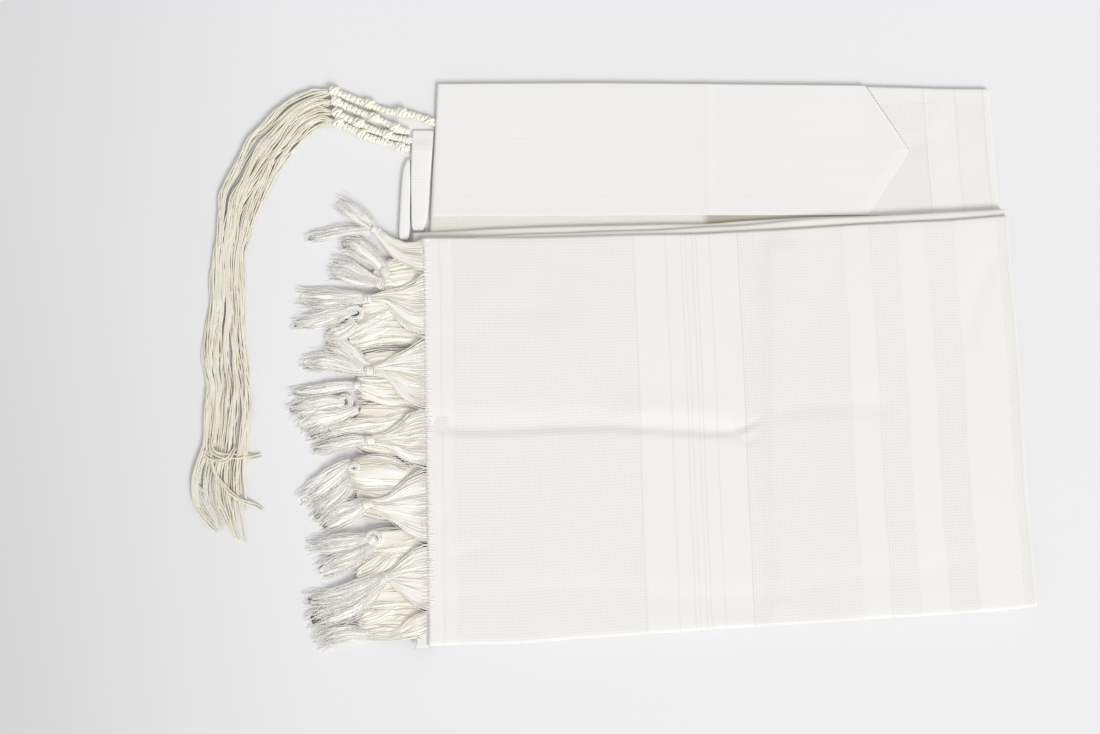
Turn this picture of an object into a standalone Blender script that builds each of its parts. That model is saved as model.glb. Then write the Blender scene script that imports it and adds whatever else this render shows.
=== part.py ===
# A tallit (a fringed prayer shawl with a neckband), folded flat into four bundles of cloth that lie
# on each other, with the knotted fringe along its left edge and its four corner tassels beside it.
# +X runs to the right along the neckband, +Y to the neckband edge, +Z up; the underside is z = 0.
# Sizes and places are in millimetres; metres are made where a mesh is built.
import math

import bmesh
import bpy

MM = 0.001

# Cloth: each bundle is four layers of cloth, because the length is folded into quarters.
WALL = 1.0
GAP = 0.3
FIRST_BUNDLE = (0.0, 3.6)
SECOND_BUNDLE = (5.2, 8.5)
THIRD_BUNDLE = (8.5, 11.7)
TOP_BUNDLE = (11.7, 14.6)
TOP_OF_BACK = FIRST_BUNDLE[1] + GAP + WALL
TOP_OF_BAND = TOP_OF_BACK + GAP + WALL
TOP_OF_FRONT = TOP_BUNDLE[1] + GAP + WALL
FOLD_RADIUS = 2.0
FRONT_RADIUS = 2.6
SKIRT_END = 0.4
ARC_STEPS = 3
NEARLY_STRAIGHT = 0.98

# The front panel's outline, counter-clockwise, in four sides. The right side starts with the corner.
FRONT = {
    "bottom": ((-178, -228), (-127, -225.3), (-48, -220.6), (31, -215.9), (110, -210.4), (189, -205.5)),
    "right": ((295.5, -197.5), (295.2, -189), (292.5, -120), (289.5, -30), (286.5, 40)),
    "top": ((283, 116.5), (235.5, 112.3), (163, 109), (94, 104.5), (33.5, 101.3), (-47, 99.6), (-112, 98.4)),
    "left": ((-190, 97.5), (-188.5, 47), (-187, -33.5), (-185, -113), (-183.5, -191), (-183, -221)),
}
# The lowest bundle's outline, with the same number of points a side: it reaches up to the neckband.
BASE = {
    "bottom": ((-179, -226), (-127, -223.8), (-48, -219), (31, -214.4), (110, -209), (189, -204)),
    "right": ((293.5, -196.5), (293.2, -189), (289, -110), (283, 20), (279.5, 113)),
    "top": ((274, 224.5), (237, 224.8), (171.5, 226.5), (90, 227.4), (10, 228.3), (-47, 228.7), (-112, 228.4)),
    "left": ((-180.2, 228), (-184, 157), (-186.8, 104.6), (-186, 0), (-185, -110), (-184, -219)),
}
SIDES = ("bottom", "right", "top", "left")

# The hidden layers, from the floor up: each bundle's outline and height, and how far its sides are set in.
HIDDEN_LAYERS = (
    # outline, bottom and top, in at bottom, in at right, in at top, in at left
    (BASE, FIRST_BUNDLE, 1.4, 1.3, 0.6, 2.6),
    (FRONT, SECOND_BUNDLE, 1.6, 2.2, 4.3, 2.0),
    (FRONT, THIRD_BUNDLE, 1.4, 1.4, 4.3, 1.7),
    (FRONT, TOP_BUNDLE, 1.3, 1.3, 1.3, 1.3),
)
NECK_INSET = 4.3
# A folded edge's section: share of its height, and how far it draws in there.
ROUNDED_EDGE = ((0.0, 1.3), (0.18, 0.45), (0.5, 0.0), (0.82, 0.45), (1.0, 1.3))

# The front panel's folded lower side turns down over two bundles, its other sides over one.
SKIRT_OVER_ONE = 12.0
SKIRT_OVER_TWO = 8.8

# The two folds that stand out behind the front panel's upper edge: x, then y of each fold's nose.
FOLD_NOSES = (
    # x, lower fold, upper fold
    (-198.5, 103.3, None),
    (-190.5, 103.5, None),
    (-188.5, 103.6, None),
    (-150.0, 105.2, 99.4),
    (-95.0, 107.7, 101.6),
    (-47.0, 109.2, 103.4),
    (2.0, 110.3, 104.8),
    (44.0, 111.2, 107.0),
    (67.0, 113.0, 108.6),
    (90.0, 114.2, 110.9),
    (116.0, 115.4, 113.4),
    (173.0, 117.4, 116.4),
    (238.0, 120.7, 119.6),
    (281.0, 122.8, 121.8),
)
LOWER_FOLD = SECOND_BUNDLE
UPPER_FOLD = (THIRD_BUNDLE[0] + GAP, THIRD_BUNDLE[1])
UPPER_FOLD_START = -150.0
FOLD_BACK = 3.9
LOWER_FOLD_END_BACK = 99.2
NOSE_STEPS = 6
TUCK = 4.0

# Where the back panel's side folds run in under the bundles above: y at the left and at the right.
LEFT_FOLD_FOOT = 100
RIGHT_FOLD_FOOT = 118
PANEL_STEPS = 14

# The neckband: a straight strip with a pointed end, sewn to the back panel's upper edge.
BAND_LOWER_EDGE = ((-184.3, 117.6), (44.4, 118.4), (173.8, 118.6))
BAND_SQUARE_END = 171.5
BAND_POINT = (206.5, 172.5)
BAND_POINT_HALF = 0.8
BAND_STEPS = 10

# The corners of the lower layers that stand out at the left: outline and height.
CORNER_FOLDS = (
    (
        "corner_fold_upper",
        ((-200.9, 191.2), (-201.2, 140), (-200.6, 108), (-198.5, 104.8), (-191.5, 104.8), (-189.0, 112),
         (-187.2, 118), (-185.6, 140), (-184.0, 170), (-182.9, 189.5), (-184.2, 191.2)),
        4.5,
    ),
    (
        "corner_fold_lower",
        ((-201.8, 166.5), (-205.3, 162), (-207.7, 155.2), (-209.2, 139.4), (-209.8, 118.7), (-210.4, 103),
         (-208.7, 98.4), (-205.6, 97.0), (-202.9, 98.6), (-201.6, 110), (-201.9, 131)),
        5.5,
    ),
)
CORNER_FOLD_EDGE = ((0.0, 1.1), (0.6, 0.35), (1.6, 0.0), (-1.5, 0.0), (-0.5, 0.45), (0.0, 1.4))

# Fringe along the front panel's left edge: each tassel's root on that edge, then its middle line
# as x, y and half its width: where it is gathered, where it fans out, and its tip.
FRINGE_TASSELS = (
    # root from y, root to y, rest of the line
    (86.0, 97.0, ((-205.0, 88.6, 4.3), (-219.5, 97.0, 4.4), (-242.0, 112.5, 8.0), (-263.5, 127.5, 6.5))),
    (71.5, 84.5, ((-219.0, 75.5, 5.5), (-245.5, 81.0, 14.0), (-268.5, 79.0, 14.0))),
    (19.5, 69.5, ((-225.0, 48.5, 7.0), (-261.5, 42.0, 13.5), (-294.7, 39.5, 11.5))),
    (-39.0, 17.5, ((-231.0, -9.5, 7.0), (-264.5, -10.0, 16.5), (-295.5, -13.0, 20.0))),
    (-87.0, -41.0, ((-217.5, -58.5, 7.0), (-252.0, -55.0, 10.5), (-281.5, -60.0, 10.0))),
    (-127.0, -89.0, ((-232.5, -112.0, 7.0), (-259.0, -115.0, 16.0), (-283.0, -118.0, 15.0))),
    (-176.0, -129.0, ((-226.0, -154.0, 7.0), (-250.5, -152.0, 11.0), (-275.0, -158.0, 11.0))),
    (-220.0, -178.0, ((-218.5, -193.0, 8.0), (-250.0, -200.0, 14.0), (-279.0, -203.5, 16.0))),
)
ROOT_HEIGHT = 13.3
TIP_HEIGHT = 3.0
HALF_ROUND_STEPS = 6
ROOT_SQUARENESS = 0.5
STRAND_SQUARENESS = 0.8

# The wound part of each corner tassel: its route on the table, from the cloth to its last knot.
CORD_RADIUS = 3.1
CORD_HEIGHT = 3.3
CORNER_TASSELS = (
    ((-183.4, 195.7), (-190, 199.2), (-199.5, 202), (-208.5, 203.5), (-219, 205), (-227.5, 208),
     (-235.5, 211.5), (-245.5, 214.5), (-256, 219), (-263, 221.5), (-267.6, 223)),
    ((-202.0, 187.4), (-208, 189), (-214, 191), (-219.5, 194), (-225.5, 197.3), (-235.5, 201.5),
     (-245.5, 205.5), (-256, 210), (-262.5, 213), (-266.6, 214.8)),
    ((-202.0, 180.3), (-208, 181.8), (-214, 183.3), (-219.5, 185.5), (-227, 188), (-235.5, 191),
     (-243.5, 194.7), (-250, 198), (-257, 201.7), (-262.5, 204.6), (-265.1, 206.0)),
    ((-202.0, 173.2), (-210.5, 175.3), (-218.5, 178), (-227, 180.8), (-235, 183.5), (-243.5, 187),
     (-251.5, 190.8), (-258.5, 194.3), (-264.0, 197.6)),
)
CORD_POINTS = 18

# The loose ends of the corner tassels, as one flat bundle: its two edges and its height.
LOOSE_STRANDS = (
    # left x, left y, right x, right y, height
    (-269.5, 227.0, -266.0, 195.0, 7.0),
    (-293.5, 218.5, -278.0, 195.0, 6.0),
    (-309.5, 208.5, -286.0, 183.5, 5.5),
    (-324.0, 192.5, -295.0, 170.5, 5.5),
    (-337.5, 176.5, -305.5, 155.0, 5.5),
    (-348.5, 155.5, -316.5, 133.0, 5.5),
    (-357.0, 131.5, -326.0, 113.5, 5.5),
    (-359.0, 106.5, -330.5, 94.5, 5.5),
    (-361.5, 73.5, -330.0, 69.5, 5.0),
    (-364.0, 32.5, -329.0, 32.5, 5.0),
    (-364.5, -8.0, -330.0, -8.0, 5.0),
    (-366.0, -40.5, -330.5, -40.5, 5.0),
    (-367.0, -64.5, -331.0, -64.5, 5.0),
    (-371.5, -80.5, -333.0, -80.5, 4.5),
    (-373.0, -95.0, -333.5, -95.0, 4.0),
    (-371.0, -110.5, -331.5, -110.5, 3.5),
    (-362.5, -126.0, -330.5, -126.0, 3.0),
    (-352.0, -140.5, -329.5, -140.5, 2.5),
    (-338.0, -147.5, -328.5, -147.5, 2.0),
)

CLOTH_WHITE = (0.86, 0.85, 0.81)
BAND_WHITE = (0.88, 0.88, 0.86)
FRINGE_WHITE = (0.84, 0.83, 0.79)
CORD_CREAM = (0.80, 0.76, 0.64)


def clear_scene():
    for obj in list(bpy.data.objects):
        bpy.data.objects.remove(obj, do_unlink=True)


def make_material(name, colour, roughness):
    material = bpy.data.materials.new(name)
    material.use_nodes = True
    shader = material.node_tree.nodes["Principled BSDF"]
    shader.inputs["Base Color"].default_value = (*colour, 1.0)
    shader.inputs["Roughness"].default_value = roughness
    shader.inputs["Metallic"].default_value = 0.0
    return material


def interpolate(table, x, column=1):
    # Straight-line reading of a table whose first column rises.
    rows = [row for row in table if row[column] is not None]
    if x <= rows[0][0]:
        return rows[0][column]
    for low, high in zip(rows, rows[1:]):
        if x <= high[0]:
            share = (x - low[0]) / (high[0] - low[0])
            return low[column] + share * (high[column] - low[column])
    return rows[-1][column]


def outline_points(outline):
    return [point for side in SIDES for point in outline[side]]


def outline_insets(outline, bottom, right, top, left):
    by_side = {"bottom": bottom, "right": right, "top": top, "left": left}
    return [by_side[side] for side in SIDES for _ in outline[side]]


def inset(points, distances):
    # Moves each side of a counter-clockwise outline inwards by its own distance.
    normals = []
    for start, end in zip(points, points[1:] + points[:1]):
        length = math.dist(start, end)
        normals.append(((end[1] - start[1]) / length, (start[0] - end[0]) / length))
    moved = []
    for i, point in enumerate(points):
        before, after = normals[i - 1], normals[i]
        first, second = distances[i - 1], distances[i]
        same = before[0] * after[0] + before[1] * after[1]
        if same > NEARLY_STRAIGHT:
            shift = (first + second) / 2
            across = (before[0] + after[0], before[1] + after[1])
            length = math.hypot(*across)
            moved.append((point[0] - shift * across[0] / length, point[1] - shift * across[1] / length))
            continue
        along_before = (same * second - first) / (1 - same * same)
        along_after = (same * first - second) / (1 - same * same)
        moved.append(
            (
                point[0] + along_before * before[0] + along_after * after[0],
                point[1] + along_before * before[1] + along_after * after[1],
            )
        )
    return moved


def level(points, z):
    return [(x, y, z) for x, y in points]


def loft(name, rings, material, collection):
    # A closed solid through rings with the same number of points, capped at both ends.
    bm = bmesh.new()
    rows = [[bm.verts.new([value * MM for value in point]) for point in ring] for ring in rings]
    count = len(rows[0])
    for lower, upper in zip(rows, rows[1:]):
        for i in range(count):
            after = (i + 1) % count
            bm.faces.new((lower[i], lower[after], upper[after], upper[i]))
    bm.faces.new(reversed(rows[0]))
    bm.faces.new(rows[-1])
    bmesh.ops.recalc_face_normals(bm, faces=bm.faces)
    mesh = bpy.data.meshes.new(name)
    bm.to_mesh(mesh)
    bm.free()
    mesh.materials.append(material)
    obj = bpy.data.objects.new(name, mesh)
    collection.objects.link(obj)
    return obj


def make_hidden_layers(material, collection):
    # The folded layers inside, as one solid with a rounded edge for each bundle. A neck behind the
    # front panel's upper edge leaves room for the back panel to be tucked in.
    rings = []
    last_top = None
    for outline, (bottom, top), *insets in HIDDEN_LAYERS:
        points = outline_points(outline)
        sides = outline_insets(outline, *insets)
        edge = ROUNDED_EDGE[1:] if bottom == last_top else ROUNDED_EDGE
        if last_top is not None and bottom > last_top:
            neck = inset(points, [NECK_INSET] * len(points))
            rings += [level(neck, last_top), level(neck, bottom)]
        for share, drawn_in in edge:
            outline_there = inset(points, [side + drawn_in for side in sides])
            rings.append(level(outline_there, bottom + share * (top - bottom)))
        last_top = top
    loft("hidden_layers", rings, material, collection)


def make_front_panel(material, collection):
    # The top layer of cloth, turned down over the edges that it is folded round.
    points = outline_points(FRONT)
    folded = len(FRONT["bottom"])
    ends = [SKIRT_OVER_TWO if i <= folded else SKIRT_OVER_ONE for i in range(len(points))]
    centre_z = TOP_OF_FRONT - FRONT_RADIUS
    angles = [math.radians(90 * step / ARC_STEPS) for step in range(ARC_STEPS + 1)]

    def ring(radius, angle):
        drawn_in = FRONT_RADIUS - radius * math.sin(angle)
        return level(inset(points, [drawn_in] * len(points)), centre_z + radius * math.cos(angle))

    def hem(drawn_in):
        moved = inset(points, [drawn_in] * len(points))
        return [(x, y, z) for (x, y), z in zip(moved, ends)]

    outer = [ring(FRONT_RADIUS, angle) for angle in angles] + [hem(0.0)]
    inner = [hem(WALL)] + [ring(FRONT_RADIUS - WALL, angle) for angle in reversed(angles)]
    loft("front_panel", outer + inner, material, collection)


def left_line(y):
    # The fold at the left of the back panel, which the neckband is wrapped round.
    (x_top, y_top), _, (x_low, y_low) = BASE["left"][:3]
    return x_top + (x_low - x_top) * (y_top - y) / (y_top - y_low)


def right_line(y):
    x_top, y_top = BASE["top"][0]
    x_low, y_low = BASE["right"][-1]
    return x_top + (x_low - x_top) * (y_top - y) / (y_top - y_low)


def top_line(x):
    return interpolate(sorted(BASE["top"] + BASE["left"][:1]), x)


def tuck_line(x):
    return interpolate(FOLD_NOSES, x) - TUCK


def band_ring(low, high, z, tilt, wall):
    # One station across a strip of cloth: its two outer points, and the two below them.
    down = (-wall * math.sin(tilt), -wall * math.cos(tilt))
    return [
        (low[0], low[1], z),
        (high[0], high[1], z),
        (high[0] + down[0], high[1], z + down[1]),
        (low[0] + down[0], low[1], z + down[1]),
    ]


def fold_over(top, radius, direction):
    # From the floor up round a fold: distance from its outermost line, z and tilt.
    rows = [(0.0, SKIRT_END, direction * math.pi / 2)]
    for step in range(ARC_STEPS + 1):
        angle = math.radians(90 * (1 - step / ARC_STEPS))
        away = radius - radius * math.sin(angle)
        rows.append((away, top - radius + radius * math.cos(angle), direction * angle))
    return rows


def make_upper_panel(material, collection):
    out = GAP + WALL
    low_left = (left_line(LEFT_FOLD_FOOT) + out, LEFT_FOLD_FOOT)
    low_right = (right_line(RIGHT_FOLD_FOOT), RIGHT_FOLD_FOOT)
    high_left = (left_line(BASE["left"][0][1]) + out, BASE["left"][0][1])
    high_right = BASE["top"][0]
    rings = []
    for away, z, tilt in fold_over(TOP_OF_BACK, FOLD_RADIUS, -1):
        low_x, high_x = low_left[0] + away, high_left[0] + away
        rings.append(band_ring((low_x, tuck_line(low_x)), (high_x, top_line(high_x)), z, tilt, WALL))
    for step in range(1, PANEL_STEPS):
        share = step / PANEL_STEPS
        low_x = low_left[0] + share * (low_right[0] - low_left[0])
        high_x = high_left[0] + share * (high_right[0] - high_left[0])
        low, high = (low_x, tuck_line(low_x)), (high_x, top_line(high_x))
        rings.append(band_ring(low, high, TOP_OF_BACK, 0.0, WALL))
    for away, z, tilt in reversed(fold_over(TOP_OF_BACK, FOLD_RADIUS, 1)):
        low_x, high_x = low_right[0] - away, high_right[0] - away
        rings.append(band_ring((low_x, tuck_line(low_x)), (high_x, top_line(high_x)), z, tilt, WALL))
    loft("upper_panel", rings, material, collection)


def make_neckband(material, collection):
    # Lies on the back panel, from round its left fold to the point at its right end.
    radius = FOLD_RADIUS + GAP + WALL
    low_y, high_y = BAND_LOWER_EDGE[0][1], BASE["left"][0][1]
    low_left, high_left = left_line(low_y), left_line(high_y)
    rings = []
    for away, z, tilt in fold_over(TOP_OF_BAND, radius, -1):
        low_x, high_x = low_left + away, high_left + away
        low = (low_x, interpolate(BAND_LOWER_EDGE, low_x))
        rings.append(band_ring(low, (high_x, top_line(high_x)), z, tilt, WALL))
    start = low_left + radius
    for step in range(1, BAND_STEPS + 1):
        x = start + (BAND_SQUARE_END - start) * step / BAND_STEPS
        low, high = (x, interpolate(BAND_LOWER_EDGE, x)), (x, top_line(x))
        rings.append(band_ring(low, high, TOP_OF_BAND, 0.0, WALL))
    low = (BAND_POINT[0], BAND_POINT[1] - BAND_POINT_HALF)
    high = (BAND_POINT[0], BAND_POINT[1] + BAND_POINT_HALF)
    rings.append(band_ring(low, high, TOP_OF_BAND, 0.0, WALL))
    loft("neckband", rings, material, collection)


def make_fold_loop(name, column, heights, first_x, material, collection):
    # A long rounded fold: a flat strip with a half-round nose towards +Y.
    bottom, top = heights
    radius = (top - bottom) / 2
    front_top = sorted(FRONT["top"] + FRONT["left"][:1])
    rings = []
    for row in FOLD_NOSES:
        x, nose = row[0], row[column]
        if nose is None or x < first_x:
            continue
        back = interpolate(front_top, x) - FOLD_BACK
        if x < FRONT["left"][0][0]:
            back = LOWER_FOLD_END_BACK
        ring = [(x, back, bottom)]
        for step in range(NOSE_STEPS + 1):
            angle = math.pi * (step / NOSE_STEPS - 0.5)
            y = nose - radius + radius * math.cos(angle)
            ring.append((x, y, bottom + radius + radius * math.sin(angle)))
        rings.append(ring + [(x, back, top)])
    loft(name, rings, material, collection)


def make_corner_folds(material, collection):
    for name, outline, height in CORNER_FOLDS:
        points = list(reversed(outline)) if signed_area(outline) < 0 else list(outline)
        rings = []
        for i, (z, drawn_in) in enumerate(CORNER_FOLD_EDGE):
            if i >= len(CORNER_FOLD_EDGE) // 2:
                z += height
            rings.append(level(inset(points, [drawn_in] * len(points)), z))
        loft(name, rings, material, collection)


def signed_area(points):
    following = points[1:] + points[:1]
    return sum(a[0] * b[1] - b[0] * a[1] for a, b in zip(points, following)) / 2


def half_round(left, right, height, squareness=1.0):
    # A section that is flat on the table and rounded above, between two points.
    centre = ((left[0] + right[0]) / 2, (left[1] + right[1]) / 2)
    reach = (right[0] - centre[0], right[1] - centre[1])
    ring = []
    for step in range(HALF_ROUND_STEPS + 1):
        angle = math.pi * step / HALF_ROUND_STEPS
        along = math.copysign(abs(math.cos(angle)) ** squareness, math.cos(angle))
        up = height * abs(math.sin(angle)) ** squareness if 0 < step < HALF_ROUND_STEPS else 0.0
        ring.append((centre[0] + along * reach[0], centre[1] + along * reach[1], up))
    return ring


def make_fringe(material, collection):
    edge = sorted((y, x) for x, y in FRONT["left"])
    for number, (low_y, high_y, line) in enumerate(FRINGE_TASSELS, 1):
        root_x = min(interpolate(edge, low_y), interpolate(edge, high_y)) - GAP
        rings = [half_round((root_x, high_y), (root_x, low_y), ROOT_HEIGHT, ROOT_SQUARENESS)]
        spots = [(root_x, (low_y + high_y) / 2)] + [(x, y) for x, y, _ in line]
        for i, (x, y, half) in enumerate(line, 1):
            before, after = spots[i - 1], spots[min(i + 1, len(spots) - 1)]
            length = math.dist(before, after)
            side = (-(after[1] - before[1]) / length * half, (after[0] - before[0]) / length * half)
            share = i / len(line)
            height = ROOT_HEIGHT + (TIP_HEIGHT - ROOT_HEIGHT) * share
            rings.append(half_round((x - side[0], y - side[1]), (x + side[0], y + side[1]), height))
        loft(f"fringe_tassel_{number}", rings, material, collection)


def smooth_route(points, count):
    # A smooth curve through the points (Catmull-Rom), read at even steps of the point number.
    padded = [points[0]] + list(points) + [points[-1]]
    route = []
    for i in range(count):
        place = i * (len(points) - 1) / (count - 1)
        k = min(int(place), len(points) - 2)
        t = place - k
        p0, p1, p2, p3 = padded[k : k + 4]
        route.append(
            tuple(
                0.5
                * (
                    2 * b
                    + (c - a) * t
                    + (2 * a - 5 * b + 4 * c - d) * t * t
                    + (3 * b - a - 3 * c + d) * t * t * t
                )
                for a, b, c, d in zip(p0, p1, p2, p3)
            )
        )
    return route


def make_corner_tassels(material, collection):
    for number, points in enumerate(CORNER_TASSELS, 1):
        route = smooth_route(points, CORD_POINTS)
        name = f"corner_tassel_{number}"
        curve = bpy.data.curves.new(name, "CURVE")
        curve.dimensions = "3D"
        curve.bevel_depth = CORD_RADIUS * MM
        curve.bevel_resolution = 2
        curve.use_fill_caps = True
        spline = curve.splines.new("POLY")
        spline.points.add(len(route) - 1)
        for spot, (x, y) in zip(spline.points, route):
            spot.co = (x * MM, y * MM, CORD_HEIGHT * MM, 1.0)
        curve.materials.append(material)
        collection.objects.link(bpy.data.objects.new(name, curve))
    rings = [
        half_round((left_x, left_y), (right_x, right_y), height, STRAND_SQUARENESS)
        for left_x, left_y, right_x, right_y, height in LOOSE_STRANDS
    ]
    loft("corner_tassel_strands", rings, material, collection)


def main():
    clear_scene()
    collection = bpy.data.collections.new("tallit")
    bpy.context.scene.collection.children.link(collection)
    cloth = make_material("woven wool", CLOTH_WHITE, 0.85)
    band = make_material("neckband cotton", BAND_WHITE, 0.6)
    fringe = make_material("fringe yarn", FRINGE_WHITE, 0.9)
    cord = make_material("tassel cord", CORD_CREAM, 0.8)
    make_hidden_layers(cloth, collection)
    make_upper_panel(cloth, collection)
    make_neckband(band, collection)
    make_front_panel(cloth, collection)
    make_fold_loop("fold_loop_back", 1, LOWER_FOLD, FOLD_NOSES[0][0], cloth, collection)
    make_fold_loop("fold_loop_front", 2, UPPER_FOLD, UPPER_FOLD_START, cloth, collection)
    make_corner_folds(cloth, collection)
    make_fringe(fringe, collection)
    make_corner_tassels(cord, collection)


main()
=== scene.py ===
# A folded tallit: bundles of cloth, a neckband, knotted fringe and corner tassels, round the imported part.
# Tables are in millimetres; everything made from them is in metres.
import math

import bpy
import numpy as np
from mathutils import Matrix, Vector


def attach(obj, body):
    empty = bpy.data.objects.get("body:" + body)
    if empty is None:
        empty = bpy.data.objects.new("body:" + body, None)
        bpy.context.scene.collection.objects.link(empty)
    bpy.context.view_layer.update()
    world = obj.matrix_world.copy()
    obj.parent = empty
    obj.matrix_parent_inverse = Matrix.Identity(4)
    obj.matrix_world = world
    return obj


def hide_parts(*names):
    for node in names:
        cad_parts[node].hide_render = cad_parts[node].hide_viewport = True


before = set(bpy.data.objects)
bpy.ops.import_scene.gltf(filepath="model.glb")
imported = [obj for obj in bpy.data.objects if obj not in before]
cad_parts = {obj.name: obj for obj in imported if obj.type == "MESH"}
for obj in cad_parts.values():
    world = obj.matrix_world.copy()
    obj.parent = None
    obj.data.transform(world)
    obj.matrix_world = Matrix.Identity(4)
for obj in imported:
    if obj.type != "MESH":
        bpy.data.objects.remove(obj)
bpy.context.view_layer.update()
mm = 0.001


# small helpers for shader and geometry nodes
def fill(tree, socket, value):
    # a link when the value is another node's socket, else a plain value
    if isinstance(value, bpy.types.NodeSocket):
        tree.links.new(value, socket)
    else:
        socket.default_value = value


def addNode(tree, kind, inputs=None, **settings):
    made = tree.nodes.new(kind)
    for key, value in settings.items():
        setattr(made, key, value)
    for key, value in (inputs or {}).items():
        fill(tree, made.inputs[key], value)
    return made


def calc(tree, operation, first, second=0.0, third=0.0):
    return addNode(tree, "ShaderNodeMath", {0: first, 1: second, 2: third}, operation=operation).outputs[0]


def times(tree, first, second):
    return calc(tree, "MULTIPLY", first, second)


def timesPlus(tree, first, second, third):
    return calc(tree, "MULTIPLY_ADD", first, second, third)


def vectorCalc(tree, operation, *values):
    return addNode(tree, "ShaderNodeVectorMath", dict(enumerate(values)), operation=operation).outputs[0]


def splitXyz(tree, vector):
    return addNode(tree, "ShaderNodeSeparateXYZ", {0: vector}).outputs


def noiseAt(tree, place, scale, detail, output=0):
    made = addNode(tree, "ShaderNodeTexNoise", {"Vector": place, "Scale": scale, "Detail": detail})
    return made.outputs[output]


def objectPlace(tree):
    return addNode(tree, "ShaderNodeTexCoord").outputs["Object"]


def mixValue(tree, amount, first, second):
    return addNode(tree, "ShaderNodeMix", {0: amount, 2: first, 3: second}).outputs[0]


def mixColour(tree, amount, first, second, blend="MIX"):
    made = addNode(tree, "ShaderNodeMix", {0: amount, 6: first, 7: second}, data_type="RGBA",
                   blend_type=blend)
    return made.outputs[2]


# almost overhead, 1.24 m away
viewPoint = {"lens": 50, "sensor": 36, "nearest": 0.01, "farthest": 50, "place": (-0.0875, -0.1346, 1.2302),
             "aim": (-0.0875, -0.0053, 0.0)}


def turnTo(thing, target):
    thing.rotation_euler = (Vector(target) - thing.location).to_track_quat("-Z", "Y").to_euler()
    bpy.context.collection.objects.link(thing)


def makeCamera():
    data = bpy.data.cameras.new("camera")
    data.lens = viewPoint["lens"]
    data.sensor_width = viewPoint["sensor"]
    data.clip_start = viewPoint["nearest"]
    data.clip_end = viewPoint["farthest"]
    camera = bpy.data.objects.new("camera", data)
    camera.location = viewPoint["place"]
    turnTo(camera, viewPoint["aim"])
    bpy.context.scene.camera = camera


studio = {
    "worldStrength": 0.58,
    "worldColour": (1.0, 1.0, 1.0),
    "softboxPlace": (4.9, -7.7, 9.6),
    "softboxAim": (-0.02, 0.0, 0.0),
    "softboxSize": 5.0,
    "softboxPower": 1085.0,
    "floorColour": (0.845, 0.845, 0.857),
    "floorHalf": 3.0,
    "floorLevel": -0.0003,
    "floorMottle": 0.99,
    "floorMottleScale": 3.0,
    "floorRoughness": 0.75,
    "floorGloss": 0.15,
    # painted shade on the floor: from, to, and the darkest share: towards the left, and towards the lower
    # left corner
    "fallLeft": (-0.58, -0.26, 0.85),
    "fallCorner": (-0.85, -0.35, 0.91),
}


def makeFloorMaterial():
    material = bpy.data.materials.new("paleFloor")
    material.use_nodes = True
    tree = material.node_tree
    shader = tree.nodes["Principled BSDF"]
    place = objectPlace(tree)
    mottle = noiseAt(tree, place, studio["floorMottleScale"], 2.0)
    colour = mixColour(tree, mottle, (*[c * studio["floorMottle"] for c in studio["floorColour"]], 1),
                       (*studio["floorColour"], 1))
    # painted shade: the floor's colour darkens towards the left of the table and its lower left corner, where
    # the light falls off
    sideways = splitXyz(tree, place)
    start, end, darkest = studio["fallLeft"]
    fall = addNode(tree, "ShaderNodeMapRange", {0: sideways[0], 1: start, 2: end, 3: darkest, 4: 1.0},
                   interpolation_type="SMOOTHSTEP")
    start, end, darkest = studio["fallCorner"]
    diagonal = calc(tree, "ADD", sideways[0], sideways[1])
    corner = addNode(tree, "ShaderNodeMapRange", {0: diagonal, 1: start, 2: end, 3: darkest, 4: 1.0})
    colour = mixColour(tree, 1.0, colour, times(tree, fall.outputs[0], corner.outputs[0]), "MULTIPLY")
    tree.links.new(colour, shader.inputs["Base Color"])
    shader.inputs["Roughness"].default_value = studio["floorRoughness"]
    shader.inputs["Specular IOR Level"].default_value = studio["floorGloss"]
    return material


def makeStudio():
    world = bpy.data.worlds.new("world")
    world.use_nodes = True
    back = world.node_tree.nodes["Background"]
    back.inputs["Color"].default_value = (*studio["worldColour"], 1)
    back.inputs["Strength"].default_value = studio["worldStrength"]
    bpy.context.scene.world = world
    light = bpy.data.lights.new("softbox", "AREA")
    light.shape = "SQUARE"
    light.size = studio["softboxSize"]
    light.energy = studio["softboxPower"]
    lamp = bpy.data.objects.new("softbox", light)
    lamp.location = studio["softboxPlace"]
    turnTo(lamp, studio["softboxAim"])
    half, level = studio["floorHalf"], studio["floorLevel"]
    mesh = bpy.data.meshes.new("floor")
    mesh.from_pydata([(-half, -half, level), (half, -half, level), (half, half, level), (-half, half, level)],
                     [], [(0, 1, 2, 3)])
    mesh.materials.append(makeFloorMaterial())
    floor = bpy.data.objects.new("floor", mesh)
    bpy.context.collection.objects.link(floor)
    bpy.context.scene.view_settings.view_transform = "Standard"


makeCamera()
makeStudio()
print("camera, floor and light ready")


# lines, tubes and meshes
def runAlong(points):
    # how far along the line each point lies
    return np.concatenate([[0], np.cumsum(np.linalg.norm(np.diff(points, axis=0), axis=1))])


def evenSteps(points, spacing):
    points = np.asarray(points, float)
    along = runAlong(points)
    count = max(2, int(round(along[-1] / spacing)) + 1)
    steps = np.linspace(0, along[-1], count)
    return np.stack([np.interp(steps, along, points[:, k]) for k in range(points.shape[1])], 1)


def smoothLine(points, spacing):
    # a Catmull-Rom line through the points, in even steps
    p = np.asarray(points, float)
    p = np.vstack([2 * p[0] - p[1], p, 2 * p[-1] - p[-2]])
    t = np.linspace(0, 1, 14, endpoint=False)[:, None]
    runs = []
    for a, b, c, d in zip(p, p[1:], p[2:], p[3:]):
        runs.append(0.5 * (2 * b + (c - a) * t + (2 * a - 5 * b + 4 * c - d) * t ** 2
                           + (3 * b - a - 3 * c + d) * t ** 3))
    return evenSteps(np.vstack([*runs, p[-2:-1]]), spacing)


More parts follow.
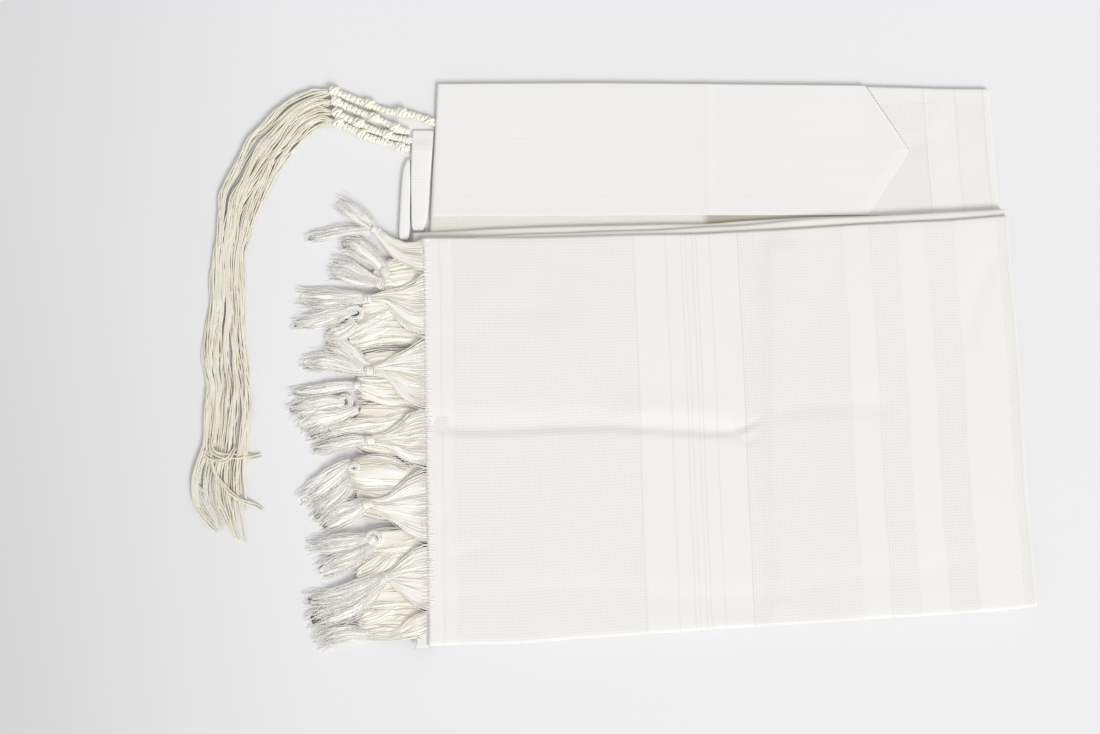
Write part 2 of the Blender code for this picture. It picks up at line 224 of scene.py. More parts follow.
def lineLength(points):
    return float(np.linalg.norm(np.diff(points, axis=0), axis=1).sum())


def softened(values, width):
    # a smoothed copy of a row of numbers, its ends held
    reach = int(3 * width) + 1
    kernel = np.exp(-0.5 * (np.arange(-reach, reach + 1) / width) ** 2)
    kernel /= kernel.sum()
    padded = np.pad(values, reach, mode="edge")
    return np.convolve(padded, kernel, mode="valid")


def wander(count, width, generator):
    # smooth random values of about one unit
    row = softened(generator.normal(size=count + int(6 * width)), width)[: count]
    return row / (row.std() + 1e-9)


def framesAlong(path):
    # a tangent and two cross directions at each point, turned as little as possible
    tangent = np.gradient(path, axis=0)
    tangent /= np.linalg.norm(tangent, axis=1)[:, None] + 1e-12
    start = np.cross(tangent[0], (0, 0, 1.0))
    if np.linalg.norm(start) < 0.2:
        start = np.cross(tangent[0], (0, 1.0, 0))
    side = np.empty_like(path)
    side[0] = start / np.linalg.norm(start)
    for i in range(1, len(path)):
        turned = side[i - 1] - tangent[i] * (side[i - 1] @ tangent[i])
        side[i] = turned / (np.linalg.norm(turned) + 1e-12)
    return tangent, side, np.cross(side, tangent)


def spoke(turn, side, up):
    # one direction round the line for each of its points
    return np.cos(turn)[:, None] * side + np.sin(turn)[:, None] * up


def loopFaces(count, rows, flip=False, capped=False):
    # quads between closed rings of points, and a face over each end
    faces = []
    for r in range(rows - 1):
        for k in range(count):
            n = (k + 1) % count
            face = (r * count + k, r * count + n, (r + 1) * count + n, (r + 1) * count + k)
            faces.append(face[::-1] if flip else face)
    if capped:
        start, end = tuple(range(count)), tuple((rows - 1) * count + k for k in range(count))
        faces += [start, end[::-1]] if flip else [start[::-1], end]
    return faces


def gridFaces(columns, rows, flip=False):
    faces = []
    for i in range(columns - 1):
        for j in range(rows - 1):
            face = (i * rows + j, (i + 1) * rows + j, (i + 1) * rows + j + 1, i * rows + j + 1)
            faces.append(face[::-1] if flip else face)
    return faces


def tubeParts(path, radius, sides):
    # points, faces and (cos, sin, along) of a round tube with rounded ends
    path = np.asarray(path, float)
    radius = np.broadcast_to(np.asarray(radius, float), (len(path),)).copy()
    tangent, side, up = framesAlong(path)
    steps = runAlong(path)
    out, slim = 0.6 * radius, 0.45 * radius
    centres = np.vstack([path[0] - tangent[0] * out[0], path, path[-1] + tangent[-1] * out[-1]])
    rows = np.concatenate([[slim[0]], radius, [slim[-1]]])
    along = np.concatenate([[steps[0] - out[0]], steps, [steps[-1] + out[-1]]])
    side = np.vstack([side[:1], side, side[-1:]])
    up = np.vstack([up[:1], up, up[-1:]])
    turn = np.arange(sides) * 2 * math.pi / sides
    ring = (np.cos(turn)[None, :, None] * side[:, None] + np.sin(turn)[None, :, None] * up[:, None])
    points = (centres[:, None] + ring * rows[:, None, None]).reshape(-1, 3)
    yarn = np.stack([np.tile(np.cos(turn), len(rows)), np.tile(np.sin(turn), len(rows)),
                     np.repeat(along, sides)], 1)
    return points, loopFaces(sides, len(rows), capped=True), yarn


def joinParts(parts):
    points, faces, yarns, base = [], [], [], 0
    for p, f, y in parts:
        points.append(p)
        faces.extend(tuple(i + base for i in face) for face in f)
        yarns.append(y)
        base += len(p)
    return np.vstack(points), faces, np.vstack(yarns)


def setAttribute(mesh, name, kind, values):
    made = mesh.attributes.new(name, kind, "POINT")
    made.data.foreach_set("value" if kind == "FLOAT" else "vector", np.asarray(values, np.float32).ravel())


def meshPiece(name, points, faces, material, yarn=None, uv=None):
    # uv is one pair per point; yarn is (cos, sin, along) per point
    mesh = bpy.data.meshes.new(name)
    mesh.from_pydata([tuple(p) for p in np.asarray(points)], [], faces)
    mesh.polygons.foreach_set("use_smooth", [True] * len(mesh.polygons))
    if yarn is not None:
        setAttribute(mesh, "yarn", "FLOAT_VECTOR", yarn)
    if uv is not None:
        corner = np.empty(len(mesh.loops), np.int32)
        mesh.loops.foreach_get("vertex_index", corner)
        mesh.uv_layers.new(name="cloth").data.foreach_set("uv", np.asarray(uv, np.float32)[corner].ravel())
    mesh.materials.append(material)
    mesh.update()
    piece = bpy.data.objects.new(name, mesh)
    bpy.context.collection.objects.link(piece)
    return piece


def settle(piece, node):
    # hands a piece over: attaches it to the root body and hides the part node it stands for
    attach(piece, "root")
    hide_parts(node)


def settleCord(piece, node):
    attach(piece, "root")
    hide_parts(node)


# shader groups
def newGroup(name, inputs, outputs):
    tree = bpy.data.node_groups.new(name, "ShaderNodeTree")
    for label, kind, start in inputs:
        socket = tree.interface.new_socket(name=label, in_out="INPUT", socket_type="NodeSocket" + kind)
        if start is not None:
            socket.default_value = start
    for label, kind in outputs:
        tree.interface.new_socket(name=label, in_out="OUTPUT", socket_type="NodeSocket" + kind)
    return tree, tree.nodes.new("NodeGroupInput").outputs, tree.nodes.new("NodeGroupOutput").inputs


def makeBasketWeave():
    # cells of a few yarns that run along and across by turns, with a sunk line between cells
    tree, given, made = newGroup(
        "basketWeave",
        [("Place", "Vector", None), ("Cell", "Float", 0.00247), ("Yarns", "Float", 3.0)],
        [("Height", "Float"), ("Cell Face", "Float")],
    )
    split = splitXyz(tree, given["Place"])
    across = calc(tree, "DIVIDE", split[0], given["Cell"])
    upward = calc(tree, "DIVIDE", split[1], given["Cell"])
    shareX = calc(tree, "FRACT", across)
    shareY = calc(tree, "FRACT", upward)
    turns = calc(tree, "ADD", calc(tree, "FLOOR", across), calc(tree, "FLOOR", upward))
    parity = calc(tree, "FLOORED_MODULO", turns, 2.0)
    domeX = calc(tree, "SINE", times(tree, shareX, math.pi))
    domeY = calc(tree, "SINE", times(tree, shareY, math.pi))
    face = calc(tree, "POWER", times(tree, domeX, domeY), 0.45)
    wave = times(tree, given["Yarns"], math.pi)
    ribX = calc(tree, "ABSOLUTE", calc(tree, "SINE", times(tree, shareX, wave)))
    ribY = calc(tree, "ABSOLUTE", calc(tree, "SINE", times(tree, shareY, wave)))
    ribs = mixValue(tree, parity, ribX, ribY)
    tree.links.new(times(tree, face, timesPlus(tree, ribs, 0.35, 0.65)), made["Height"])
    tree.links.new(face, made["Cell Face"])
    return tree


def makeYarnTwist():
    # plies that wind round a yarn, from its (cos, sin, along) attribute
    tree, given, made = newGroup(
        "yarnTwist",
        [("Yarn", "Vector", None), ("Pitch", "Float", 0.003), ("Plies", "Float", 2.0)],
        [("Height", "Float")],
    )
    split = splitXyz(tree, given["Yarn"])
    turn = calc(tree, "ARCTAN2", split[1], split[0])
    along = calc(tree, "DIVIDE", times(tree, split[2], 2 * math.pi), given["Pitch"])
    wave = calc(tree, "SINE", calc(tree, "ADD", times(tree, turn, given["Plies"]), along))
    tree.links.new(timesPlus(tree, wave, 0.5, 0.5), made["Height"])
    return tree


def makeUneven():
    # slow changes of tone over a piece, so that no cloth is one flat colour
    tree, given, made = newGroup(
        "unevenTone",
        [("Place", "Vector", None), ("Scale", "Float", 9.0), ("Light", "Color", (1, 1, 1, 1)),
         ("Dark", "Color", (0.9, 0.9, 0.9, 1))],
        [("Colour", "Color"), ("Mask", "Float")],
    )
    slow = addNode(tree, "ShaderNodeTexNoise", {"Vector": given["Place"], "Scale": given["Scale"],
                                                "Detail": 3.0, "Roughness": 0.55})
    sharp = addNode(tree, "ShaderNodeMapRange", {0: slow.outputs[0], 1: 0.35, 2: 0.65}).outputs[0]
    tree.links.new(mixColour(tree, sharp, given["Light"], given["Dark"]), made["Colour"])
    tree.links.new(sharp, made["Mask"])
    return tree


groups = {"basket": makeBasketWeave(), "twist": makeYarnTwist(), "uneven": makeUneven()}


def useGroup(tree, key, inputs):
    made = tree.nodes.new("ShaderNodeGroup")
    made.node_tree = groups[key]
    for name, value in inputs.items():
        fill(tree, made.inputs[name], value)
    return made.outputs


def unevenTone(tree, place, scale, light, dark):
    inputs = {"Place": place, "Scale": scale, "Light": (*light, 1), "Dark": (*dark, 1)}
    return useGroup(tree, "uneven", inputs)[0]


def newMaterial(name, roughness, sheen):
    material = bpy.data.materials.new(name)
    material.use_nodes = True
    tree = material.node_tree
    shader = tree.nodes["Principled BSDF"]
    shader.inputs["Roughness"].default_value = roughness
    shader.inputs["Specular IOR Level"].default_value = 0.2
    shader.inputs["Sheen Weight"].default_value = sheen
    shader.inputs["Sheen Roughness"].default_value = 0.5
    return material, tree, shader.inputs


def bumpInto(tree, shader, height, look):
    bump = addNode(tree, "ShaderNodeBump", {"Height": height, "Strength": look["bump"],
                                            "Distance": look["depth"]})
    tree.links.new(bump.outputs[0], shader["Normal"])


# fine fibres on every yarn: scale of the noise, and its share of the bump
yarnFuzz = {"scale": 2600.0, "share": 0.25}


def yarnMaterial(name, look):
    # wool or cotton yarn: plies, a dusting of fibres, uneven tone, and painted shade in the grooves between
    # the plies
    material, tree, shader = newMaterial(name, look["roughness"], look["sheen"])
    yarn = addNode(tree, "ShaderNodeAttribute", attribute_name="yarn").outputs["Vector"]
    place = objectPlace(tree)
    twist = useGroup(tree, "twist", {"Yarn": yarn, "Pitch": look["pitch"], "Plies": look["plies"]})[0]
    tone = unevenTone(tree, place, look["toneScale"], look["light"], look["dark"])
    # painted shade: the colour is darker in the grooves between the plies
    grooveShade = timesPlus(tree, calc(tree, "POWER", twist, 0.6), look["grooveShade"], 1 - look["grooveShade"])
    colour = mixColour(tree, 1.0, tone, grooveShade, "MULTIPLY")
    if "deep" in look:
        # painted shade: yarns that lie underneath, in hollows or on the sides of a bunch are tinted, as far
        # as their low attribute says, towards the darker, creamier deep colour
        low = addNode(tree, "ShaderNodeAttribute", attribute_name="low").outputs["Fac"]
        colour = mixColour(tree, low, colour, (*look["deep"], 1))
    tree.links.new(colour, shader["Base Color"])
    fuzz = noiseAt(tree, place, yarnFuzz["scale"], 2.0)
    bumpInto(tree, shader, timesPlus(tree, fuzz, yarnFuzz["share"], twist), look)
    return material


# the corner tassels: four wound cords, then thirty-two loose strands
cottonLook = {
    "light": (0.978, 0.953, 0.868), "dark": (0.968, 0.933, 0.82), "roughness": 0.75, "sheen": 0.3,
    "pitch": 0.0034, "plies": 2.0, "toneScale": 60.0, "grooveShade": 0.08, "bump": 0.4, "depth": 0.0003,
}
cottonYarn = yarnMaterial("cottonYarn", cottonLook)
# painted shade: the loose strands get a darker, warmer copy of the same cotton as the wound cords
shadedStrandYarn = yarnMaterial("shadedStrandYarn", {**cottonLook, "light": (0.862, 0.83, 0.727),
                                         "dark": (0.82, 0.775, 0.65), "bump": 0.15, "grooveShade": 0.05})

woundCord = {
    "diameter": 6.4,
    "windingRadius": 2.25,
    "windingYarn": 0.96,
    "windingPitch": 1.8,
    "coreRadius": 1.4,
    "coreYarn": 1.15,
    "corePitch": 26,
    "knotYarn": 1.1,
    "knotOut": 0.7,
    "knotTurns": 2.6,
    "knotSwell": 2.2,
    "knotReach": 3.0,
    # how far a knot and chance swell the winding
    "knotLift": 0.42,
    "uneven": 0.13,
    # how much the cord, the winding's pitch and its yarn stray, and how far its turns slip along it
    "stray": 0.25,
    "pitchStray": 0.16,
    "yarnStray": 0.07,
    "slip": (0.42, 0.3),
    "leastHeight": 3.1,
    "yarnSides": 7,
    "step": 0.17,
}
# the routes on the table, as the part has them, and where each cord's big knots sit, as shares of it
cordRoutes = (
    ("corner_tassel_1", (0.05, 0.31, 0.62, 0.97),
     ((-183.4, 195.7), (-190, 199.2), (-199.5, 202), (-208.5, 203.5), (-219, 205), (-227.5, 208),
      (-235.5, 211.5), (-245.5, 214.5), (-256, 219), (-263, 221.5), (-267.6, 223))),
    ("corner_tassel_2", (0.19, 0.47, 0.95),
     ((-202.0, 187.4), (-208, 189), (-214, 191), (-219.5, 194), (-225.5, 197.3), (-235.5, 201.5),
      (-245.5, 205.5), (-256, 210), (-262.5, 213), (-266.6, 214.8))),
    ("corner_tassel_3", (0.28, 0.66, 0.96),
     ((-202.0, 180.3), (-208, 181.8), (-214, 183.3), (-219.5, 185.5), (-227, 188), (-235.5, 191),
      (-243.5, 194.7), (-250, 198), (-257, 201.7), (-262.5, 204.6), (-265.1, 206.0))),
    ("corner_tassel_4", (0.12, 0.62, 0.95),
     ((-202.0, 173.2), (-210.5, 175.3), (-218.5, 178), (-227, 180.8), (-235, 183.5), (-243.5, 187),
      (-251.5, 190.8), (-258.5, 194.3), (-264.0, 197.6))),
)


def makeWoundCord(name, knots, route, seed):
    look = woundCord
    generator = np.random.default_rng(seed)
    base = smoothLine([(x, y, 0.0) for x, y in route], look["step"])
    count = len(base)
    length = lineLength(base)
    place = np.linspace(0, length, count)
    swell = sum(np.exp(-0.5 * ((place - share * length) / look["knotSwell"]) ** 2) for share in knots)
    radius = look["windingRadius"] + look["knotLift"] * swell + look["uneven"] * wander(count, 22, generator)
    if name == "corner_tassel_1":
        radius *= 1 - 0.25 * np.exp(-((place - 6) / 4) ** 2)
    tall = np.maximum(softened(radius + look["windingYarn"] + 0.9 * swell, 12), look["leastHeight"])
    base[:, 2] = tall + 0.1
    base[:, :2] += look["stray"] * np.stack([wander(count, 40, generator), wander(count, 40, generator)], 1)
    tangent, side, up = framesAlong(base)
    pitch = look["windingPitch"] * (1 + look["pitchStray"] * wander(count, 20, generator))
    angle = np.cumsum(2 * math.pi * look["step"] / pitch)
    regular, chance = look["slip"]
    slip = regular * np.sin(angle * 0.5 + 1.3) + chance * wander(count, 9, generator)
    wound = base + slip[:, None] * tangent + radius[:, None] * spoke(angle, side, up)
    yarn = look["windingYarn"] * (1 + look["yarnStray"] * wander(count, 7, generator))
    sides = look["yarnSides"]
    parts = [tubeParts(wound * mm, yarn * mm, sides)]
    for k in range(3):
        turn = place * 2 * math.pi / look["corePitch"] + k * 2 * math.pi / 3
        core = base + look["coreRadius"] * spoke(turn, side, up)
        parts.append(tubeParts(core[::6] * mm, look["coreYarn"] * mm, sides))
    for share in knots:
        # a double knot: turns over the winding, and one strand that crosses them
        middle = int(share * (count - 1))
        reach = int(look["knotReach"] / look["step"])
        here = slice(max(0, middle - reach), min(count, middle + reach))
        size = here.stop - here.start
        turn = np.linspace(0, 2 * math.pi * look["knotTurns"], size) + generator.uniform(0, 6)
        out = (radius[here] + look["knotOut"])[:, None]
        coil = base[here] + out * spoke(turn, side[here], up[here])
        parts.append(tubeParts(coil * mm, look["knotYarn"] * mm, sides))
        crossing = np.linspace(0.3, 2.8, size) + generator.uniform(-0.4, 0.4)
        out = out + 0.5 + 0.35 * np.sin(np.linspace(0, math.pi, size))[:, None]
        over = base[here] + out * spoke(crossing, side[here], up[here])
        parts.append(tubeParts(over[::2] * mm, look["knotYarn"] * 0.85 * mm, sides))
    points, faces, yarns = joinParts(parts)
    points[:, 2] = np.maximum(points[:, 2], 0.00005)
    piece = meshPiece(name + "_cord", points, faces, cottonYarn, yarn=yarns)
    settleCord(piece, name)
    return base


# where each wound cord ends, and its heading there
cordEnds = []
for number, (name, knots, route) in enumerate(cordRoutes):
    base = makeWoundCord(name, knots, route, 40 + number)
    heading = base[-1] - base[-14]
    cordEnds.append((base[-1], heading / np.linalg.norm(heading)))
print("wound cords made")

looseBundle = {
    "strands": 32,
    "perCord": 8,
    "ringRadius": 1.35,
    "diameter": 2.1,
    "highest": 4.4,
    # how much the strands change their order, and the share of the way where they do
    "shuffle": 0.17,
    "lateShuffle": 0.06,
    "settled": 0.38,
    "fanning": 0.62,
    # how far a crossing strand rises on the one below, as a share of the full diameter
    "nesting": 0.92,
    "step": 2.5,
    "clusters": 5,
    "clusterPull": 0.018,
    # stations after which the lanes stray freely
    "freeAfter": 25,
    "laneDrift": 0.075,
    "kink": 0.33,
    "apart": 1.05,
    "yarnShare": 0.62,
    "twistPitch": 95.0,
    # a strand's thickness over its last points
    "tipTaper": (0.95, 0.85, 0.7, 0.5),
    # the bundle's left and right edges, from the wound cords down
    "edges": (
        (-269.5, 227.0, -266.0, 195.0), (-285.2, 222.1, -275.5, 194.5), (-297.5, 216.0, -285.5, 188.5),
        (-309.6, 207.0, -292.9, 179.5), (-321.7, 194.3, -299.9, 169.2), (-333.8, 182.6, -306.3, 158.3),
        (-341.5, 169.0, -313.0, 146.0), (-348.5, 155.0, -319.8, 133.0), (-356.5, 139.0, -326.2, 117.8),
        (-357.5, 121.0, -331.2, 107.0), (-358.0, 104.0, -334.6, 98.0), (-360.4, 89.5, -337.0, 88.0),
        (-361.7, 73.7, -337.3, 73.7), (-362.9, 57.3, -336.1, 57.3), (-363.3, 40.9, -334.9, 40.9),
        (-366.2, 24.5, -333.8, 24.5), (-367.4, 8.2, -331.8, 8.2), (-366.2, -8.0, -329.9, -8.0),
        (-363.5, -20.0, -328.8, -20.0), (-364.9, -32.4, -328.6, -32.4), (-365.6, -46.0, -329.1, -46.0),
        (-366.5, -58.5, -330.5, -58.5), (-367.0, -69.0, -331.9, -69.0), (-370.0, -80.0, -332.6, -80.0),
        (-373.0, -92.0, -333.3, -92.0), (-373.5, -104.0, -332.5, -104.0), (-371.0, -115.0, -331.8, -115.0),
        (-363.0, -127.0, -331.0, -127.0), (-354.0, -138.0, -330.5, -138.0), (-340.0, -147.5, -329.5, -147.5),
    ),
    "tips": (
        (-374.0, -116), (-370.4, -117.5), (-366.5, -112.7), (-363.4, -108), (-363, -128.6), (-361, -130),
        (-356.4, -133.4), (-353, -139), (-350, -136.6), (-347, -128.6), (-343.5, -135), (-340.2, -141.3),
        (-337, -144.5), (-335.3, -146), (-330.5, -147.5), (-335.6, -133.4), (-342, -124.6), (-339, -112.7),
        (-345.6, -114.3), (-348.7, -119), (-334.4, -112.7), (-331.2, -110.3), (-331, -95), (-351.8, -122),
        (-360, -116.7), (-355, -128.6), (-341.3, -128.6), (-332.6, -122),
    ),
    # strands that leave the bundle at its foot: strand number, then x, y, z
    "tails": {
        1: ((-363.5, -52.6, 3), (-364.0, -63, 3), (-366.3, -69.5, 3), (-370.9, -76.7, 2.4),
            (-375.0, -90.3, 1.2), (-372.8, -99, 2.5), (-368, -102.3, 4.5), (-361.4, -106.3, 5)),
        5: ((-357.8, -60.8, 6), (-358.4, -70.4, 7.5), (-355.1, -75.2, 7.9), (-350.2, -77.6, 7.8),
            (-336, -79.2, 6.6), (-328, -78.4, 2.2), (-319.8, -76.8, 1)),
        3: ((-364.1, -64.8, 3), (-363.0, -76.8, 5.5), (-360.5, -83.2, 7), (-347.7, -81.6, 7.6),
            (-342.2, -78.4, 7), (-339.1, -71.2, 6)),
        9: ((-360.2, -71.2, 5.5), (-357.4, -87.2, 6.8), (-350, -101.6, 6.8), (-341.7, -108.7, 6),
            (-331.2, -112.7, 4.2), (-322.4, -117.5, 1.4), (-316.7, -121.5, 0.9)),
    },
}


def eased(share):
    return share * share * (3 - 2 * share)


def makeLooseStrands():
    look = looseBundle
    strands = look["strands"]
    generator = np.random.default_rng(8)
    thick = look["diameter"]
    stations = smoothLine(look["edges"], look["step"] * 1.42)
    count = len(stations)
    left, right = stations[:, :2], stations[:, 2:]
    width = np.linalg.norm(right - left, axis=1)
    span = (right - left) / width[:, None]
    perStation = np.arange(count)

    def placeOf(x, y):
        # the station and the share across the bundle where a point lies
        offset = np.array((x, y)) - left
        share = (offset * span).sum(1) / width
        off = np.abs(offset[:, 0] * span[:, 1] - offset[:, 1] * span[:, 0])
        outside = np.maximum(0, np.abs(share - 0.5) - 0.6)
        best = int(np.argmin(off + 40 * outside))
        return best, float(np.clip(share[best], 0.0, 1.0))

    # each strand's lane across the bundle at its start, its middle and its end
    starts = (np.arange(strands) + 0.5) / strands
    middles = np.clip(starts + generator.normal(0, look["shuffle"], strands), 0.02, 0.98)
    middles = (np.argsort(np.argsort(middles)) + 0.5) / strands
    plain = [i for i in range(strands) if i not in look["tails"]]
    ends = sorted((placeOf(x, y) for x, y in look["tips"]), key=lambda e: e[1])
    order = sorted(plain, key=lambda i: middles[i] + generator.normal(0, look["lateShuffle"]))
    endOf = dict(zip(order, ends))
    for i, tail in look["tails"].items():
        endOf[i] = placeOf(*tail[0][:2])
    lanes = np.empty((strands, count))
    drift = wander(count, 14, generator)
    for i in range(strands):
        last, finalLane = endOf[i]
        early = eased(np.clip(perStation / (look["settled"] * count), 0, 1))
        gone = np.clip(perStation / max(last, 1), 0, 1)
        late = eased(np.clip((gone - look["fanning"]) / (1 - look["fanning"]), 0, 1))
        lane = starts[i] * (1 - early) + middles[i] * early
        lane = lane * (1 - late) + finalLane * late
        free = np.clip(perStation / look["freeAfter"], 0, 1)
        lane = lane + look["laneDrift"] * free * wander(count, 13, generator) * (1 - 0.6 * late)
        phase = 2 * math.pi * look["clusters"] * lane + 1.1 * drift
        lane = lane + look["clusterPull"] * np.sin(phase) * np.minimum(1, free + 0.3)
        lanes[i] = np.clip(lane, -0.01, 1.01)
    # height: each strand lies on whatever it crosses
    ranks = generator.permutation(strands)
    heights = np.full((strands, count), thick / 2)
    for k in range(count):
        here = lanes[:, k] * width[k]
        done = []
        for i in ranks:
            level = thick / 2
            for j in done:
                gap = abs(here[i] - here[j])
                if gap < thick:
                    level = max(level, heights[j, k] + look["nesting"] * math.sqrt(thick ** 2 - gap ** 2))
            heights[i, k] = min(level, look["highest"])
            if k <= endOf[i][0]:
                done.append(i)
    for i in range(strands):
        heights[i] = np.maximum(softened(heights[i], 3.0), thick / 2 + 0.02)
        # the strands leave each wound cord in a ring
        group, number = divmod(i, look["perCord"])
        end, heading = cordEnds[group]
        cross = np.array((-heading[1], heading[0], 0))
        turn = 2 * math.pi * number / look["perCord"]
        ring = look["ringRadius"] * (math.cos(turn) * cross + math.sin(turn) * np.array((0, 0, 1.0)))
        last = max(endOf[i][0], 12)
        body = left + lanes[i][:, None] * (right - left)
        body = np.column_stack([body, heights[i]])[4: last + 1]
        line = np.vstack([[end - heading * 3.0 + ring * 0.8, end + heading * 1.5 + ring], body])
        if i in look["tails"]:
            line = np.vstack([line[:-3], look["tails"][i]])
        line = line[::2] if len(line) % 2 else np.vstack([line[:-1:2], line[-1:]])
        line = smoothLine(line, look["step"])
        kinks = np.stack([wander(len(line), 3.2, generator), wander(len(line), 3.2, generator)], 1)
        line[2:, :2] += look["kink"] * kinks[2:]
        line[:, 2] = np.maximum(line[:, 2], thick / 2 + 0.02)
        slim = thick / 2 * (1 + 0.06 * wander(len(line), 4, generator))
        slim[-4:] *= look["tipTaper"]
        # three yarns lie together in each strand and slowly change places
        _, side, up = framesAlong(line)
        place = np.arange(len(line)) * look["step"]
        angle = 2 * math.pi * (place / look["twistPitch"] + generator.uniform())
        angle = angle + 0.8 * wander(len(line), 12, generator)
        apart = look["apart"] * (1 + 0.35 * wander(len(line), 9, generator)) * np.clip(place / 14, 0.3, 1)
        thin = slim * look["yarnShare"]
        yarnParts = []
        for k in range(3):
            turn = angle + k * 2 * math.pi / 3
            single = line + (apart * np.cos(turn))[:, None] * side
            single = single + (0.5 * apart * np.sin(turn))[:, None] * up
            single[:, 2] = np.maximum(single[:, 2], thin + 0.02)
            yarnParts.append(tubeParts(single * mm, thin * mm, 5))
        points, faces, yarns = joinParts(yarnParts)
        strand = meshPiece("loose_strand_%02d" % (i + 1), points, faces, shadedStrandYarn, yarn=yarns)
        settleCord(strand, "corner_tassel_strands")


makeLooseStrands()
print("loose strands made")


# woven cloth materials
clothLook = {
    "light": (0.892, 0.877, 0.853), "dark": (0.868, 0.854, 0.825), "satin": (0.872, 0.858, 0.83),
    "cell": 0.00247, "yarns": 3.0, "cellShade": 0.055, "lineShade": 0.06, "lineShine": 0.03,
    # painted shade for the strip under the neckband, and a darker painted shade where the gap under it
    # closes, from gapStart to gapEnd
    "perMetre": 988.0, "shadedStrip": (0.80, 0.775, 0.715), "gap": (0.50, 0.455, 0.37),
    "roughness": 0.8, "sheen": 0.12, "bump": 0.55, "depth": 0.00035, "pull": 0.0012,
    "satinGrain": (1500, 500, 0), "gapStart": 0.035, "gapEnd": 0.043, "sunkDepth": 0.4, "brightLift": 0.35,
    # scales of the noise that pulls the weave, tones it and dusts it with fibres
    "pullScale": 14.0, "toneScale": 11.0, "fuzzScale": 1800.0,
    # how far the stripes and the satin's edges stray: scale, and millimetres
    "stray": (30.0, 0.9), "satinStray": (650.0, 5.0),
}
# stripes woven along the shawl, in millimetres from the fringed edge: where satin starts and ends
satinStripes = ((0, 22.7), (169.5, 253.7), (338.8, 360), (383.2, 405.8), (428.8, 464))
# narrow sunk lines between them: place and width
sunkLines = ((13.0, 0.6), (170.0, 1.0), (195.5, 0.7), (208.0, 0.7), (211.6, 0.6), (216.8, 0.7), (220.3, 0.7),
             (231.1, 0.7), (253.7, 0.9), (470.0, 0.6))
# raised lines that catch the light, also made lighter in colour as a painted highlight
brightLines = ((9.4, 1.1), (173.8, 1.0), (257.1, 0.9), (362.0, 0.6), (407.8, 0.6), (461.5, 0.7))


def rowMask(tree, place, rows):
    # 1 inside each (from, to) row of millimetres and 0 elsewhere
    total = None
    for low, high in rows:
        inside = calc(tree, "COMPARE", place, (low + high) / 2, (high - low) / 2)
        total = inside if total is None else calc(tree, "ADD", total, inside)
    return total


def clothPlace(tree):
    return addNode(tree, "ShaderNodeUVMap", uv_map="cloth").outputs[0]


def wavyRows(tree, rows, place, scale, amount):
    # rows that stray a little from straight
    return timesPlus(tree, calc(tree, "SUBTRACT", noiseAt(tree, place, scale, 1.0), 0.5), amount, rows)


def clothMaterial(name, stripes=None, look=clothLook):
    # stripes holds rows in millimetres: satin, sunk and bright along the cloth's U, plain rows and rows of
    # painted shade across in y
    material, tree, shader = newMaterial(name, look["roughness"], look["sheen"])
    uv = clothPlace(tree)
    place = objectPlace(tree)
    drift = noiseAt(tree, place, look["pullScale"], 1.0, "Color")
    pull = vectorCalc(tree, "SUBTRACT", drift, (0.5, 0.5, 0.5))
    pulled = vectorCalc(tree, "MULTIPLY_ADD", pull, (look["pull"], look["pull"], 0), uv)
    weave = useGroup(tree, "basket", {"Place": pulled, "Cell": look["cell"], "Yarns": look["yarns"]})
    colour = unevenTone(tree, place, look["toneScale"], look["light"], look["dark"])
    height = weave["Height"]
    shade = timesPlus(tree, weave["Cell Face"], look["cellShade"], 1 - look["cellShade"])
    if stripes:
        along = times(tree, splitXyz(tree, uv)[0], look["perMetre"])
        along = wavyRows(tree, along, place, *look["stray"])
        satin = rowMask(tree, wavyRows(tree, along, place, *look["satinStray"]), stripes["satin"])
        sunk = rowMask(tree, along, stripes["sunk"])
        bright = rowMask(tree, along, stripes["bright"])
        if "plain" in stripes:
            across = times(tree, splitXyz(tree, place)[1], 1000.0)
            satin = calc(tree, "MAXIMUM", satin, rowMask(tree, across, stripes["plain"]))
            shadedStrip = rowMask(tree, across, stripes["shadedStrip"])
        grain = noiseAt(tree, vectorCalc(tree, "MULTIPLY", uv, look["satinGrain"]), 1.0, 2.0)
        height = mixValue(tree, satin, height, timesPlus(tree, grain, 0.5, 0.45))
        height = timesPlus(tree, sunk, -look["sunkDepth"], height)
        height = timesPlus(tree, bright, look["brightLift"], height)
        colour = mixColour(tree, satin, colour, (*look["satin"], 1))
        shade = mixValue(tree, satin, shade, 1.0)
        shade = times(tree, shade, timesPlus(tree, sunk, -look["lineShade"], 1.0))
        # painted highlight: the raised lines are made lighter in colour
        shade = times(tree, shade, timesPlus(tree, bright, look["lineShine"], 1.0))
    colour = mixColour(tree, 1.0, colour, shade, "MULTIPLY")
    if stripes and "shadedStrip" in stripes:
        # painted shade: the strip under the neckband gets a darker colour, darker still where the gap closes
        eastward = splitXyz(tree, place)[0]
        deeper = addNode(tree, "ShaderNodeMapRange", {0: eastward, 1: look["gapStart"], 2: look["gapEnd"]},
                         interpolation_type="SMOOTHSTEP")
        shaded = mixColour(tree, deeper.outputs[0], (*look["shadedStrip"], 1), (*look["gap"], 1))
        colour = mixColour(tree, shadedStrip, colour, shaded)
    tree.links.new(colour, shader["Base Color"])
    fuzz = noiseAt(tree, place, look["fuzzScale"], 2.0)
    bumpInto(tree, shader, timesPlus(tree, fuzz, 0.3, height), look)
    return material


def rowsOf(lines):
    return tuple((at - wide / 2, at + wide / 2) for at, wide in lines)


wovenStripes = clothMaterial("wovenStripes", {"satin": satinStripes, "sunk": rowsOf(sunkLines),
                                              "bright": rowsOf(brightLines)})
